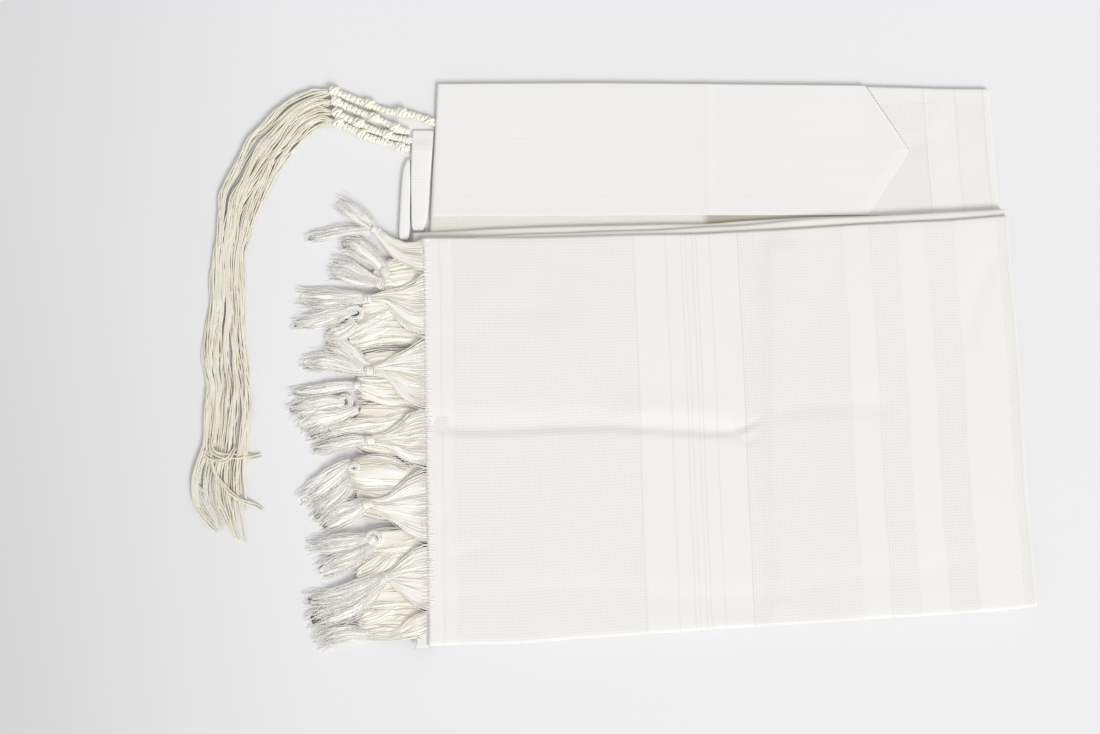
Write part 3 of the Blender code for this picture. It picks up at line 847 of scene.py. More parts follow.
# the back panel shows the same stripes at its right end, measured from its left fold, and painted shade on
# the strip under the neckband
backStripes = clothMaterial("backStripes", {
    "satin": ((405.5, 427.7), (451.3, 480)), "sunk": ((401.7, 402.5), (427.5, 428.3), (450.6, 451.6)),
    "bright": ((403.0, 405.4),), "plain": ((212.0, 232.0),), "shadedStrip": ((95.0, 118.6),)})
plainWeave = clothMaterial("plainWeave")
# painted light: a lighter copy of the cloth, so that the rounded corner folds and the corner flap look less
# shaded
brightenedCornerWeave = clothMaterial("brightenedCornerWeave", look={**clothLook, "light": (0.945, 0.935, 0.915),
                                                 "dark": (0.93, 0.92, 0.895)})
# painted shade: a darker, warmer copy of the cloth for the fold loops in the gap between the panels
shadedFoldWeave = clothMaterial("shadedFoldWeave", look={**clothLook, "light": (0.86, 0.84, 0.79),
                                             "dark": (0.83, 0.805, 0.75), "cellShade": 0.015, "bump": 0.2})


bandLook = {
    "light": (0.88, 0.868, 0.852), "dark": (0.86, 0.848, 0.83), "roughness": 0.55, "sheen": 0.08,
    "lineShade": 0.02, "bump": 0.25, "depth": 0.0003, "ribs": (60, 1600, 0), "ribHeight": 0.6,
    "lineDepth": 0.6, "toneScale": 8.0, "stray": (8.0, 0.9),
    # fine lines that run along the band: distance from its upper edge, and width
    "lines": ((12.0, 0.5), (34.7, 0.6), (46.4, 0.6), (49.8, 0.5), (53.9, 0.7), (57.3, 0.5), (59.8, 0.6),
              (62.3, 0.6), (73.1, 0.7), (93.9, 0.7)),
}


def bandMaterial():
    # the neckband's smooth cotton satin
    look = bandLook
    material, tree, shader = newMaterial("bandSatin", look["roughness"], look["sheen"])
    uv = clothPlace(tree)
    place = objectPlace(tree)
    down = wavyRows(tree, times(tree, splitXyz(tree, uv)[1], 1000.0), place, *look["stray"])
    lines = rowMask(tree, down, rowsOf(look["lines"]))
    ribs = noiseAt(tree, vectorCalc(tree, "MULTIPLY", uv, look["ribs"]), 1.0, 2.0)
    tone = unevenTone(tree, place, look["toneScale"], look["light"], look["dark"])
    shade = timesPlus(tree, lines, -look["lineShade"], 1.0)
    tree.links.new(mixColour(tree, 1.0, tone, shade, "MULTIPLY"), shader["Base Color"])
    raised = times(tree, ribs, look["ribHeight"])
    bumpInto(tree, shader, timesPlus(tree, lines, -look["lineDepth"], raised), look)
    return material


bandSatin = bandMaterial()
print("cloth materials ready")


# sheets of cloth
def pressed(x, y, creases):
    # how far soft folds lift or sink the cloth: each crease is a line with a width on its left and right
    lift = np.zeros_like(x)
    for line, leftWidth, rightWidth, height, fade in creases:
        line = smoothLine(line, 3.0)
        along = runAlong(line)
        best = np.full(x.shape, 1e9)
        signed = np.zeros_like(x)
        where = np.zeros_like(x)
        for k in range(len(line) - 1):
            a, d = line[k], line[k + 1] - line[k]
            size = d @ d
            t = np.clip(((x - a[0]) * d[0] + (y - a[1]) * d[1]) / size, 0, 1)
            ex, ey = x - a[0] - t * d[0], y - a[1] - t * d[1]
            far = ex * ex + ey * ey
            near = far < best
            best[near] = far[near]
            signed[near] = (d[0] * ey - d[1] * ex)[near]
            where[near] = (along[k] + t * math.sqrt(size))[near]
        width = np.where(signed > 0, leftWidth, rightWidth)
        ends = np.minimum(where, along[-1] - where) / max(fade, 0.1)
        ends = np.clip(ends, 0, 1) if fade > 0 else 1.0
        lift += height * np.exp(-best / width ** 2) * ends
    return lift


def cornerOf(sides, level, upright):
    # where an upright side's end meets a level side's end
    end = (np.argmin if level == "bottom" else np.argmax)(sides[upright][:, 1])
    start = (np.argmin if upright == "left" else np.argmax)(sides[level][:, 0])
    return np.array((sides[upright][end, 0], sides[level][start, 1]))


def edgeBetween(start, end, shares, side, axis):
    # a side's points at even steps of its run along one axis
    line = start + shares[:, None] * (end - start)
    rows = side[np.argsort(side[:, axis])]
    line[:, 1 - axis] = np.interp(line[:, axis], rows[:, axis], rows[:, 1 - axis])
    return line


def rolledSteps(before, count, after):
    # grid lines of a sheet as (place in the flat part, share of the roll before or after it)
    rows = [(0, -k / before) for k in range(before, 0, -1)]
    rows += [(i, 0.0) for i in range(count + 1)]
    rows += [(count, k / after) for k in range(1, after + 1)]
    return np.array([row[0] for row in rows]), np.array([row[1] for row in rows])


# how much the edges of a sheet stray from straight
edgeStray = {"bottom": 0.45, "top": 0.15, "right": 0.45}


def rollSheet(sides, rolls, top, spacing, creases=(), crown=0.0, flip=False, seed=1):
    # a four-sided sheet whose edges turn down: rolls holds (radius, turn in degrees) for each side
    generator = np.random.default_rng(seed)
    low = {key: rolls[key][0] for key in rolls}
    sides = {key: np.array(points, float) for key, points in sides.items()}
    sides["bottom"][:, 1] += low["bottom"]
    sides["top"][:, 1] -= low["top"]
    sides["left"][:, 0] += low["left"]
    sides["right"][:, 0] -= low["right"]
    bl, br = cornerOf(sides, "bottom", "left"), cornerOf(sides, "bottom", "right")
    tl, tr = cornerOf(sides, "top", "left"), cornerOf(sides, "top", "right")
    wide = int(np.linalg.norm(br - bl) / spacing)
    tall = int(np.linalg.norm(tl - bl) / spacing)
    u = np.linspace(0, 1, wide + 1)
    v = np.linspace(0, 1, tall + 1)
    b = edgeBetween(bl, br, u, sides["bottom"], 0)
    t = edgeBetween(tl, tr, u, sides["top"], 0)
    l = edgeBetween(bl, tl, v, sides["left"], 1)
    r = edgeBetween(br, tr, v, sides["right"], 1)
    b[:, 1] += edgeStray["bottom"] * wander(len(b), 7, generator)
    t[:, 1] += edgeStray["top"] * wander(len(t), 7, generator)
    r[:, 0] += edgeStray["right"] * wander(len(r), 6, generator)
    uu, vv = u[:, None, None], v[None, :, None]
    plane = ((1 - vv) * b[:, None] + vv * t[:, None] + (1 - uu) * l[None] + uu * r[None]
             - (1 - uu) * (1 - vv) * bl - uu * (1 - vv) * br - (1 - uu) * vv * tl - uu * vv * tr)
    steps = {key: 0 if low[key] < 0.3 else (8 if rolls[key][1] > 120 else 6) for key in low}
    ci, ca = rolledSteps(steps["left"], wide, steps["right"])
    lj, lb = rolledSteps(steps["bottom"], tall, steps["top"])
    flat = plane[ci][:, lj]
    a, e = np.broadcast_arrays(ca[:, None], lb[None, :])
    size = np.hypot(a, e)
    share = np.maximum(np.abs(a), np.abs(e))
    dirX = np.divide(a, size, out=np.zeros_like(size), where=size > 0)
    dirY = np.divide(e, size, out=np.zeros_like(size), where=size > 0)
    sideX = np.where(a < 0, "left", "right")
    sideY = np.where(e < 0, "bottom", "top")

    def picked(k):
        # the radius or turn of the nearest sides, weighed by how much each counts here
        read = np.vectorize(lambda name: float(rolls[name][k]))
        return dirX ** 2 * read(sideX) + dirY ** 2 * read(sideY)

    radius = picked(0)
    turn = np.radians(picked(1)) * share
    x = flat[..., 0] + radius * np.sin(turn) * dirX
    y = flat[..., 1] + radius * np.sin(turn) * dirY
    z = top - radius * (1 - np.cos(turn))
    if creases or crown:
        edge = np.minimum(np.minimum(ci / max(wide, 1), 1 - ci / max(wide, 1))[:, None] * wide,
                          np.minimum(lj / max(tall, 1), 1 - lj / max(tall, 1))[None, :] * tall) * spacing
        calm = 1 - np.exp(-((edge + 1.5) / 5.0) ** 2)
        z = z + pressed(x, y, creases) * np.maximum(calm, 0.5)
        swell = (np.sin(x / 53 + 0.7) * np.sin(y / 41 + 1.9) + 0.6 * np.sin(x / 23 - y / 37 + 2.1)
                 + 0.5 * np.sin(x / 31 + y / 19))
        z = z + crown * 0.28 * swell * calm
    arc = radius * turn
    uvX = (ci * spacing)[:, None] * np.linalg.norm(br - bl) / (wide * spacing) + arc * dirX
    uvY = (lj * spacing)[None, :] * np.linalg.norm(tl - bl) / (tall * spacing) + arc * dirY
    points = np.stack([x, y, z], -1).reshape(-1, 3) * mm
    uv = np.stack([uvX, uvY], -1).reshape(-1, 2) * mm
    return points, gridFaces(len(ci), len(lj), flip), uv


def thickened(piece, thickness):
    # cloth thickness, taken inwards from the face that is seen
    wall = piece.modifiers.new("cloth", "SOLIDIFY")
    wall.thickness = thickness * mm
    wall.offset = -1.0


def makePanel(name, look, node, material, seed):
    points, faces, uv = rollSheet(look["sides"], look["rolls"], look["top"], look["spacing"], look["creases"],
                                  look["crown"], seed=seed)
    piece = meshPiece(name, points, faces, material, uv=uv)
    thickened(piece, look["thickness"])
    settle(piece, node)


frontPanel = {
    "top": 15.9,
    "spacing": 3.1,
    "thickness": 0.7,
    "flat": (0.482, 0.345),
    "crown": 0.5,
    "rolls": {"bottom": (3.4, 165), "right": (1.95, 170), "top": (1.95, 165), "left": (0.0, 0)},
    "sides": {
        "bottom": ((-183, -228), (-127, -225.3), (-48, -220.6), (31, -215.9), (110, -210.4), (189, -205.5),
                   (295.5, -197.5)),
        "right": ((295.5, -197.5), (295.2, -189), (292.5, -120), (289.5, -30), (286.5, 40), (283, 116.5)),
        "top": ((283, 116.5), (235.5, 112.3), (163, 109), (94, 104.5), (33.5, 101.3), (-47, 99.6),
                (-112, 98.4), (-190, 97.5)),
        "left": ((-190, 97.5), (-188.5, 47), (-187, -33.5), (-185, -113), (-183.5, -191), (-183, -228)),
    },
    # line, width on its left, width on its right, height, fade at its ends
    "creases": (
        (((-188, -55.8), (-159, -57.4), (-127, -57.4), (-87, -55.8), (-48, -55), (-8, -56.6), (32, -59),
          (70, -60)), 15.0, 2.4, -2.1, 12),
        (((-188, -44), (-127, -46), (-48, -44), (60, -48)), 12.0, 9.0, 0.35, 20),
        (((-40, -44), (20, -45), (55, -48), (72, -50)), 11.0, 5.0, 0.7, 14),
        (((56, -57.5), (67.7, -55), (73.3, -52.6), (80, -47)), 2.4, 1.6, -1.1, 5),
        (((56, -61), (67.5, -66.2), (79, -63)), 2.0, 2.0, -0.9, 5),
        (((64, -60.5), (76, -58)), 3.0, 3.0, 0.9, 3),
        (((94, 99), (92.6, 47), (92.8, 6.7), (92.8, -49.5), (92, -89), (92.8, -144), (93.5, -207)),
         22.0, 9.0, 1.2, 10),
        (((275, 92), (262, 67), (253.6, 43), (247, 6.7)), 6.0, 12.0, -0.6, 15),
        (((-183, -195), (-142, -187), (-80, -183.5), (-17, -185), (46, -190), (150, -180)),
         7.0, 14.0, -0.55, 25),
        (((-173, -113), (-170.5, -140.5)), 6.0, 6.0, -0.45, 8),
        (((-170, -160), (-150.7, -153.8), (-133, -148.3)), 6.0, 6.0, -0.45, 8),
        (((83.7, -48), (111.7, -39), (151.6, -37.5), (191, -43)), 13.0, 8.0, -0.95, 20),
        (((93.7, -172), (148.8, -174), (212, -168), (255.7, -156)), 9.0, 12.0, -0.45, 20),
        (((-183.6, 18.7), (-159.6, 14.7), (-135.6, 18.7)), 9.0, 7.0, -0.4, 10),
        (((-143.7, 44.6), (-103.6, 39), (-79.5, 43)), 10.0, 8.0, -0.4, 12),
        (((-190, 98), (-187, -33), (-183, -228)), 1.0, 7.0, -0.3, 0),
    ),
}
makePanel("front_panel_cloth", frontPanel, "front_panel", wovenStripes, 11)
print("front panel made")

backPanel = {
    "top": 4.9,
    "spacing": 3.0,
    "thickness": 0.7,
    "flat": (0.465, 0.145),
    "rolls": {"bottom": (0.0, 0), "right": (1.9, 130), "top": (1.9, 130), "left": (1.9, 130)},
    "sides": {
        "bottom": ((-185.4, 97.0), (-100, 98), (44, 104), (150, 110), (279.3, 114)),
        "right": ((279.3, 114), (274, 224.5)),
        "top": ((274, 224.5), (237, 224.8), (171.5, 226.5), (90, 227.4), (10, 228.3), (-47, 228.7),
                (-112, 228.4), (-179.6, 228)),
        "left": ((-179.6, 228), (-183.4, 157), (-185.4, 97.0)),
    },
    "creases": (
        (((190.8, 171), (203, 176), (223.7, 179.4), (246, 172)), 9.0, 9.0, -0.6, 14),
        (((228, 215), (232, 190)), 8.0, 8.0, 0.4, 8),
        (((240, 165), (246, 130)), 9.0, 12.0, -0.35, 10),
        (((-180, 113), (-60, 113), (60, 115)), 4.0, 6.0, -0.5, 10),
    ),
    "crown": 0.35,
}
makePanel("back_panel_cloth", backPanel, "upper_panel", backStripes, 12)

neckBand = {
    "top": 5.7,
    "bottom": 4.95,
    "thickness": 0.6,
    "flat": (0.395, 0.115),
    "area": 0.0405,
    "lower": ((-186, 117.6), (44.4, 118.4), (173.8, 118.6)),
    "upper": ((-182, 228.1), (-112, 228.5), (-47, 228.8), (10, 228.4), (90, 227.5), (171.5, 226.7)),
    "squareEnd": 171.5,
    "point": (206.5, 172.5),
    # how much nearer its edge a slant lies than a distance straight up says
    "slant": 0.56,
    "leftFold": 2.6,
    "leftLow": -184.3,
    "leftHigh": -180.4,
    "foldSteps": (0.0, 0.2, 0.6, 1.1, 1.8, 2.6),
    "edgeSteps": (0.0, 0.12, 0.35, 0.7, 1.15),
    # the point's lower slant: from where and how far it is pressed in
    "pressFrom": 160,
    "pressRun": 12,
    "pressWidth": 9,
    "pressDepth": 0.5,
    # how far from the left fold the band leans with it
    "leanRun": 60,
    "swell": 0.10,
    "column": 3.0,
    "rows": 40,
    "edge": 0.55,
    "creases": (
        (((43.5, 228), (43.8, 172.5), (44.0, 118.0)), 1.6, 9.0, 0.55, 0),
        (((-60, 150), (0, 146), (60, 150), (120, 146)), 18.0, 18.0, -0.3, 20),
        (((-150, 200), (-90, 206), (-20, 200)), 16.0, 16.0, 0.3, 20),
    ),
}


def makeNeckBand():
    look = neckBand
    start, square, end = look["leftLow"], look["squareEnd"], look["point"][0]
    main = np.linspace(start + 4.0, square, int((square - start) / look["column"]))
    tip = np.linspace(square, end, 16)[1:]
    columns = np.concatenate([np.array(look["foldSteps"]) + start, main, tip])
    edge, leftFold = look["edge"], look["leftFold"]
    near = np.array(look["edgeSteps"]) * edge
    inner = look["rows"] // 2
    points, uv = [], []
    for x in columns:
        if x <= square:
            y0 = float(np.interp(x, *np.array(look["lower"]).T))
            y1 = float(np.interp(x, *np.array(look["upper"]).T))
            slant = 1.0
        else:
            s = (x - square) / (end - square)
            y0 = (1 - s) * look["lower"][-1][1] + s * (look["point"][1] - 0.5)
            y1 = (1 - s) * look["upper"][-1][1] + s * (look["point"][1] + 0.5)
            slant = look["slant"]
        half = (y1 - y0) / 2
        steps = np.minimum(near / slant, half * np.linspace(0, 0.6, len(near)))
        rest = np.linspace(steps[-1], half, inner + 1)[1:]
        offset = np.concatenate([steps, rest])
        ys = np.concatenate([y0 + offset, (y1 - offset)[::-1][1:]])
        distance = np.concatenate([offset, offset[::-1][1:]]) * slant
        fold = x - start
        drop = edge - np.sqrt(np.maximum(edge ** 2 - np.maximum(edge - distance, 0) ** 2, 0))
        if fold < leftFold:
            drop = drop + leftFold - math.sqrt(max(leftFold ** 2 - (leftFold - fold) ** 2, 0))
        # the point's lower slant lies pressed into the cloth
        press = look["pressDepth"] * np.clip((x - look["pressFrom"]) / look["pressRun"], 0, 1)
        drop = drop + press * np.clip(1 - distance / look["pressWidth"], 0, 1) * (ys < look["point"][1] - 0.1)
        # the left end leans in with the fold it wraps round
        lean = look["leftHigh"] - look["leftLow"]
        lean = lean * np.clip((ys - 118) / 110, 0, 1) * np.clip(1 - fold / look["leanRun"], 0, 1)
        for y, d, shift in zip(ys, drop, lean):
            points.append((x + shift, y, look["top"] - d))
            uv.append((x * mm, (228.4 - y) * mm))
    points = np.array(points)
    points[:, 2] += pressed(points[:, 0], points[:, 1], look["creases"])
    points[:, 2] += look["swell"] * (np.sin(points[:, 0] / 37 + 1) * np.sin(points[:, 1] / 21))
    # the edges reach down to the panel below
    grid = points.reshape(len(columns), len(ys), 3)
    grid[:, 0, 2] = look["bottom"]
    grid[:, -1, 2] = np.minimum(grid[:, -1, 2], 4.2)
    grid[-1, :, 2] = np.minimum(grid[-1, :, 2], look["bottom"] + 0.3)
    piece = meshPiece("neckband_cloth", grid.reshape(-1, 3) * mm, gridFaces(len(columns), len(ys)), bandSatin,
                      uv=np.array(uv))
    thickened(piece, look["thickness"])
    settle(piece, "neckband")


makeNeckBand()
print("back panel and neckband made")

foldLoops = {
    # x, and the nose's y on the back loop and on the front loop
    "noses": (
        (-198.5, 103.3, None), (-190.5, 103.5, None), (-188.5, 103.6, None), (-150.0, 105.2, 99.4),
        (-95.0, 107.7, 101.6), (-47.0, 109.2, 103.4), (2.0, 110.3, 104.8), (44.0, 111.2, 107.0),
        (67.0, 113.0, 108.6), (90.0, 114.2, 110.9), (116.0, 115.4, 113.4), (173.0, 117.4, 116.4),
        (238.0, 120.7, 119.6), (281.0, 122.8, 121.8),
    ),
    "reach": 9.0,
    "step": 4.0,
    "thickness": 0.6,
    # metres of cloth that a loop takes round its nose
    "take": 0.021,
    # how much the nose and the top stray, and how far they lie inside the part
    "noseStray": 0.22,
    "noseInside": 0.25,
    "topStray": 0.12,
    "topInside": 0.1,
    # the length over which a loop closes at its ends
    "closing": 2.2,
    "arcs": 8,
}


def makeFoldLoop(name, column, low, high, seed):
    look = foldLoops
    generator = np.random.default_rng(seed)
    rows = np.array([(r[0], r[column]) for r in look["noses"] if r[column] is not None], float)
    line = smoothLine(rows, look["step"])
    count = len(line)
    x, nose = line[:, 0], line[:, 1] + look["noseStray"] * wander(count, 4, generator) - look["noseInside"]
    top = high + look["topStray"] * wander(count, 6, generator) - look["topInside"]
    radius = (top - low) / 2
    fromEnd = np.minimum(x - x[0] + 0.4, x[-1] - x + 0.4)
    radius = radius * np.minimum(1, np.sqrt(np.clip(fromEnd / look["closing"], 0, 1)))
    middle = (top + low) / 2
    points, uv = [], []
    for i in range(count):
        # from the hidden back, round the nose and back again below
        back = nose[i] - look["reach"]
        ring = [(x[i], back, middle[i] + radius[i])]
        for turn in [math.pi / 2 - math.pi * k / look["arcs"] for k in range(look["arcs"] + 1)]:
            ring.append((x[i], nose[i] - radius[i] + radius[i] * math.cos(turn),
                         middle[i] + radius[i] * math.sin(turn)))
        ring.append((x[i], back, middle[i] - radius[i]))
        points.extend(ring)
        steps = [0.0]
        for p, q in zip(ring, ring[1:]):
            steps.append(steps[-1] + math.dist(p, q))
        uv.extend(((x[i] + 190) * mm, s * mm) for s in steps)
    faces = gridFaces(count, len(ring), flip=True)
    piece = meshPiece(name + "_cloth", np.array(points) * mm, faces, shadedFoldWeave, uv=np.array(uv))
    thickened(piece, look["thickness"])
    settle(piece, name)


makeFoldLoop("fold_loop_back", 1, 5.25, 8.5, 21)
makeFoldLoop("fold_loop_front", 2, 8.85, 11.7, 22)
print("fold loops made")

cornerFolds = {
    # y, left x, right x and height down each strip
    "corner_fold_upper": {
        "stations": ((190.8, -200.9, -183.1, 1.4), (183, -201, -183.4, 2.2), (175, -201, -183.8, 4.2),
                     (167, -201, -184.1, 4.5), (150, -201.2, -185.1, 4.5),
                     (130, -201.0, -186.4, 4.6), (118, -200.8, -187.3, 4.7), (111, -200.3, -189.0, 4.6),
                     (105.2, -199.0, -191.0, 4.0)),
        "flat": (0.018, 0.088),
    },
    "corner_fold_lower": {
        "stations": ((166, -204.4, -201.9, 3.5), (162, -205.4, -201.8, 4.4), (155, -207.6, -201.8, 5.1),
                     (139, -209.2, -201.8, 5.5), (119, -209.9, -201.8, 5.5), (107, -210.4, -201.7, 5.5),
                     (101, -210.2, -202.0, 5.2), (97.4, -208.9, -203.4, 4.0)),
        "flat": (0.0115, 0.074),
    },
}


def insetLoop(points, distance):
    # a closed outline moved inwards along its own normals
    before, after = np.roll(points, 1, axis=0), np.roll(points, -1, axis=0)
    run = after - before
    run /= np.linalg.norm(run, axis=1)[:, None]
    inward = np.stack([-run[:, 1], run[:, 0]], 1)
    return points + inward * np.asarray(distance).reshape(-1, 1)


def closedOutline(points, spacing):
    rows = np.array(points, float)
    following = np.roll(rows, -1, axis=0)
    if (rows[:, 0] * following[:, 1] - following[:, 0] * rows[:, 1]).sum() < 0:
        rows = rows[::-1]
    line = evenSteps(np.vstack([rows, rows[:1]]), spacing)[:-1]
    for _ in range(2):
        line = 0.25 * np.roll(line, 1, axis=0) + 0.5 * line + 0.25 * np.roll(line, -1, axis=0)
    return line


cornerFoldLook = {"around": 20, "step": 2.0, "squareness": 0.42, "endLength": 2.4, "stray": 0.12,
                  "lift": 0.15}


def makeCornerFold(name, look, seed):
    # a long fold of cloth: a rounded section, flat below, drawn in at both ends
    shape = cornerFoldLook
    generator = np.random.default_rng(seed)
    line = smoothLine(look["stations"], shape["step"])
    count, around = len(line), shape["around"]
    turn = np.linspace(0, 2 * math.pi, around, endpoint=False)
    squaredX, squaredZ = (np.sign(row) * np.abs(row) ** shape["squareness"]
                          for row in (np.cos(turn), np.sin(turn)))
    nearEnd = np.minimum(np.arange(count), np.arange(count)[::-1])
    ends = np.sqrt(np.clip(nearEnd * shape["step"] / shape["endLength"] + 0.08, 0, 1))
    rings = []
    uneven = wander(count, 5, generator)
    for (y, low, high, height), share, off in zip(line, ends, uneven):
        middle, half = (low + high) / 2, (high - low) / 2 * (0.82 + 0.18 * share)
        up = height / 2 * (0.35 + 0.65 * share)
        x = middle + half * squaredX + shape["stray"] * off
        z = height / 2 + up * squaredZ - (height / 2 - up) * 0.5 + shape["lift"]
        rings.append(np.column_stack([x, np.full(around, y), z]))
    points = np.vstack(rings)
    points[:, 2] = np.maximum(points[:, 2], 0.1)
    uv = np.stack([points[:, 0] + points[:, 2], points[:, 1]], 1) * mm
    faces = loopFaces(around, count, flip=True, capped=True)
    piece = meshPiece(name + "_cloth", points * mm, faces, brightenedCornerWeave, uv=uv)
    settle(piece, name)


for number, (name, look) in enumerate(cornerFolds.items()):
    makeCornerFold(name, look, 50 + number)
print("corner folds made")

# the layers below: each bundle is two rounded folds of cloth, one on the other, all round
bundles = {
    "base": ((-179, -226), (-127, -223.8), (-48, -219), (31, -214.4), (110, -209), (189, -204),
             (293.5, -196.5), (293.2, -189), (289, -110), (283, 20), (279.5, 113),
             *backPanel["sides"]["top"][:-1], (-180.2, 228), (-184, 157), (-186.8, 104.6), (-186, 0),
             (-185, -110), (-184, -219)),
    "front": ((-178, -228), *frontPanel["sides"]["bottom"][1:], *frontPanel["sides"]["right"][1:],
              *frontPanel["sides"]["top"][1:], *frontPanel["sides"]["left"][1:-1], (-183, -221)),
    # name, outline, low, high, drawn in from the outline
    "stack": (
        ("first_bundle", "base", 0.05, 3.55, 0.9),
        ("second_bundle", "front", 5.2, 8.5, 1.3),
        ("third_bundle", "front", 8.6, 11.75, 0.9),
        ("top_bundle", "front", 11.85, 14.9, 2.3),
    ),
    "reach": 15.0,
    "step": 5.0,
    # half the gap between a bundle's two folds, and how much each fold's nose strays
    "halfGap": 0.03,
    "inside": 0.3,
    "stray": 0.28,
    "undersideFlat": (0.475, 0.435),
}


def makeBundle(name, outline, low, high, drawn, seed):
    look = bundles
    generator = np.random.default_rng(seed)
    line = closedOutline(look[outline], look["step"])
    count = len(line)
    middle = (low + high) / 2
    points, faces, uv, base = [], [], [], 0
    for z0, z1 in ((low, middle - look["halfGap"]), (middle + look["halfGap"], high)):
        radius = (z1 - z0) / 2
        ends = wander(count, 3, generator)
        blend = np.minimum(1, np.minimum(np.arange(count), np.arange(count)[::-1]) / 8)
        extra = drawn + look["inside"] + look["stray"] * ends * blend
        arc = 0.0
        previous = None
        profile = [(look["reach"], z1)]
        profile += [(radius - radius * math.cos(t), (z0 + z1) / 2 + radius * math.sin(t))
                    for t in np.linspace(math.pi / 2, -math.pi / 2, 8)]
        profile += [(look["reach"], z0)]
        for inward, z in profile:
            ring = insetLoop(line, extra + inward)
            points.append(np.column_stack([ring, np.full(count, z)]))
            if previous:
                arc += math.hypot(inward - previous[0], z - previous[1])
            previous = (inward, z)
            uv.append(np.column_stack([np.arange(count) * look["step"], np.full(count, arc)]))
        faces += [tuple(i + base for i in face) for face in loopFaces(count, len(profile), flip=True)]
        base += count * len(profile)
    piece = meshPiece(name, np.vstack(points) * mm, faces, plainWeave, uv=np.vstack(uv) * mm)
    settle(piece, "hidden_layers")


for number, (name, outline, low, high, drawn) in enumerate(bundles["stack"]):
    makeBundle(name, outline, low, high, drawn, 31 + number)


def makeUnderside():
    # the lowest layer of cloth, which lies on the table
    look = bundles
    sides = {"bottom": look["base"][:7], "right": look["base"][6:12], "top": look["base"][11:19],
             "left": (*look["base"][18:], look["base"][0])}
    rolls = {key: (1.2, 80) for key in sides}
    points, faces, uv = rollSheet(sides, rolls, 0.0, 9.0, flip=True, seed=41)
    points[:, 2] = 0.0002 - points[:, 2]
    piece = meshPiece("underside_cloth", points, faces, plainWeave, uv=uv)
    settle(piece, "hidden_layers")


makeUnderside()
print("lower layers made")


cornerFlap = {
    "corners": ((-183.6, -199.0, 14.9), (-182.8, -228.6, 13.0), (-194.6, -230.0, 5.6),
                (-188.6, -203.0, 12.2)),
    "steps": 10,
    "swell": 1.3,
    "thickness": 0.6,
    "flat": (0.030, 0.010),
}


def makeCornerFlap():
    # the hem's corner, turned down at the lower left under the front panel
    look = cornerFlap
    corners = np.array(look["corners"])
    steps = np.linspace(0, 1, look["steps"])
    points = []
    for u in steps:
        for v in steps:
            place = ((1 - u) * (1 - v) * corners[0] + (1 - u) * v * corners[1] + u * v * corners[2]
                     + u * (1 - v) * corners[3])
            place[2] += look["swell"] * math.sin(math.pi * v) * math.sin(math.pi * u * 0.8)
            points.append(place)
    points = np.array(points)
    faces = gridFaces(look["steps"], look["steps"])
    piece = meshPiece("front_corner_flap", points * mm, faces, brightenedCornerWeave, uv=points[:, :2] * mm)
    thickened(piece, look["thickness"])
    settle(piece, "front_panel")


makeCornerFlap()
print("corner flap made")


# the knotted fringe: yarns from the cloth's edge to knots, and loose tufts beyond them
woolLook = {
    "light": (0.99, 0.98, 0.952), "dark": (0.986, 0.969, 0.922), "roughness": 0.85, "sheen": 0.35,
    "pitch": 0.0022, "plies": 2.0, "toneScale": 70.0, "grooveShade": 0.01, "bump": 0.3, "depth": 0.0002,
    # the darker, creamier colour of painted shade, for yarns that lie low, in hollows or on the sides of a
    # bunch
    "deep": (0.9, 0.848, 0.745),
}
woolYarn = yarnMaterial("woolYarn", woolLook)


def newNodeTree(name, sizes):
    # a tree that takes lines, named sizes and a material, and gives a mesh
    tree = bpy.data.node_groups.new(name, "GeometryNodeTree")
    tree.is_modifier = True
    socket = tree.interface.new_socket
    socket(name="Geometry", in_out="INPUT", socket_type="NodeSocketGeometry")
    for label, kind, value in sizes:
        socket(name=label, in_out="INPUT", socket_type="NodeSocket" + kind).default_value = value
    socket(name="Material", in_out="INPUT", socket_type="NodeSocketMaterial")
    socket(name="Geometry", in_out="OUTPUT", socket_type="NodeSocketGeometry")
    return tree, tree.nodes.new("NodeGroupInput").outputs, tree.nodes.new("NodeGroupOutput").inputs


def finishTree(tree, geometry, given, made):
    real = addNode(tree, "GeometryNodeRealizeInstances", {"Geometry": geometry})
    dressed = addNode(tree, "GeometryNodeSetMaterial", {"Geometry": real.outputs[0],
                                                        "Material": given["Material"]})
    tree.links.new(dressed.outputs[0], made[0])


def joinXyz(tree, x=0.0, y=0.0, z=0.0):
    return addNode(tree, "ShaderNodeCombineXYZ", {0: x, 1: y, 2: z}).outputs[0]


def scaled(tree, vector, amount):
    return addNode(tree, "ShaderNodeVectorMath", {0: vector, "Scale": amount}, operation="SCALE").outputs[0]


fibreRule = {
    # the least and most that a fibre's thickness differs, and from where on one strays
    "stout": (0.82, 1.18),
    "wild": 1.12,
    "wildSpread": 0.9,
    # locks: copies are drawn together at these steps across the tuft
    "lockShift": 0.09,
    "lockStep": 0.21,
    "noiseScale": 75.0,
    "lowest": 0.0005,
    # yarns lie a little flat on one another
    "section": (0.6, 1.15, 1),
}


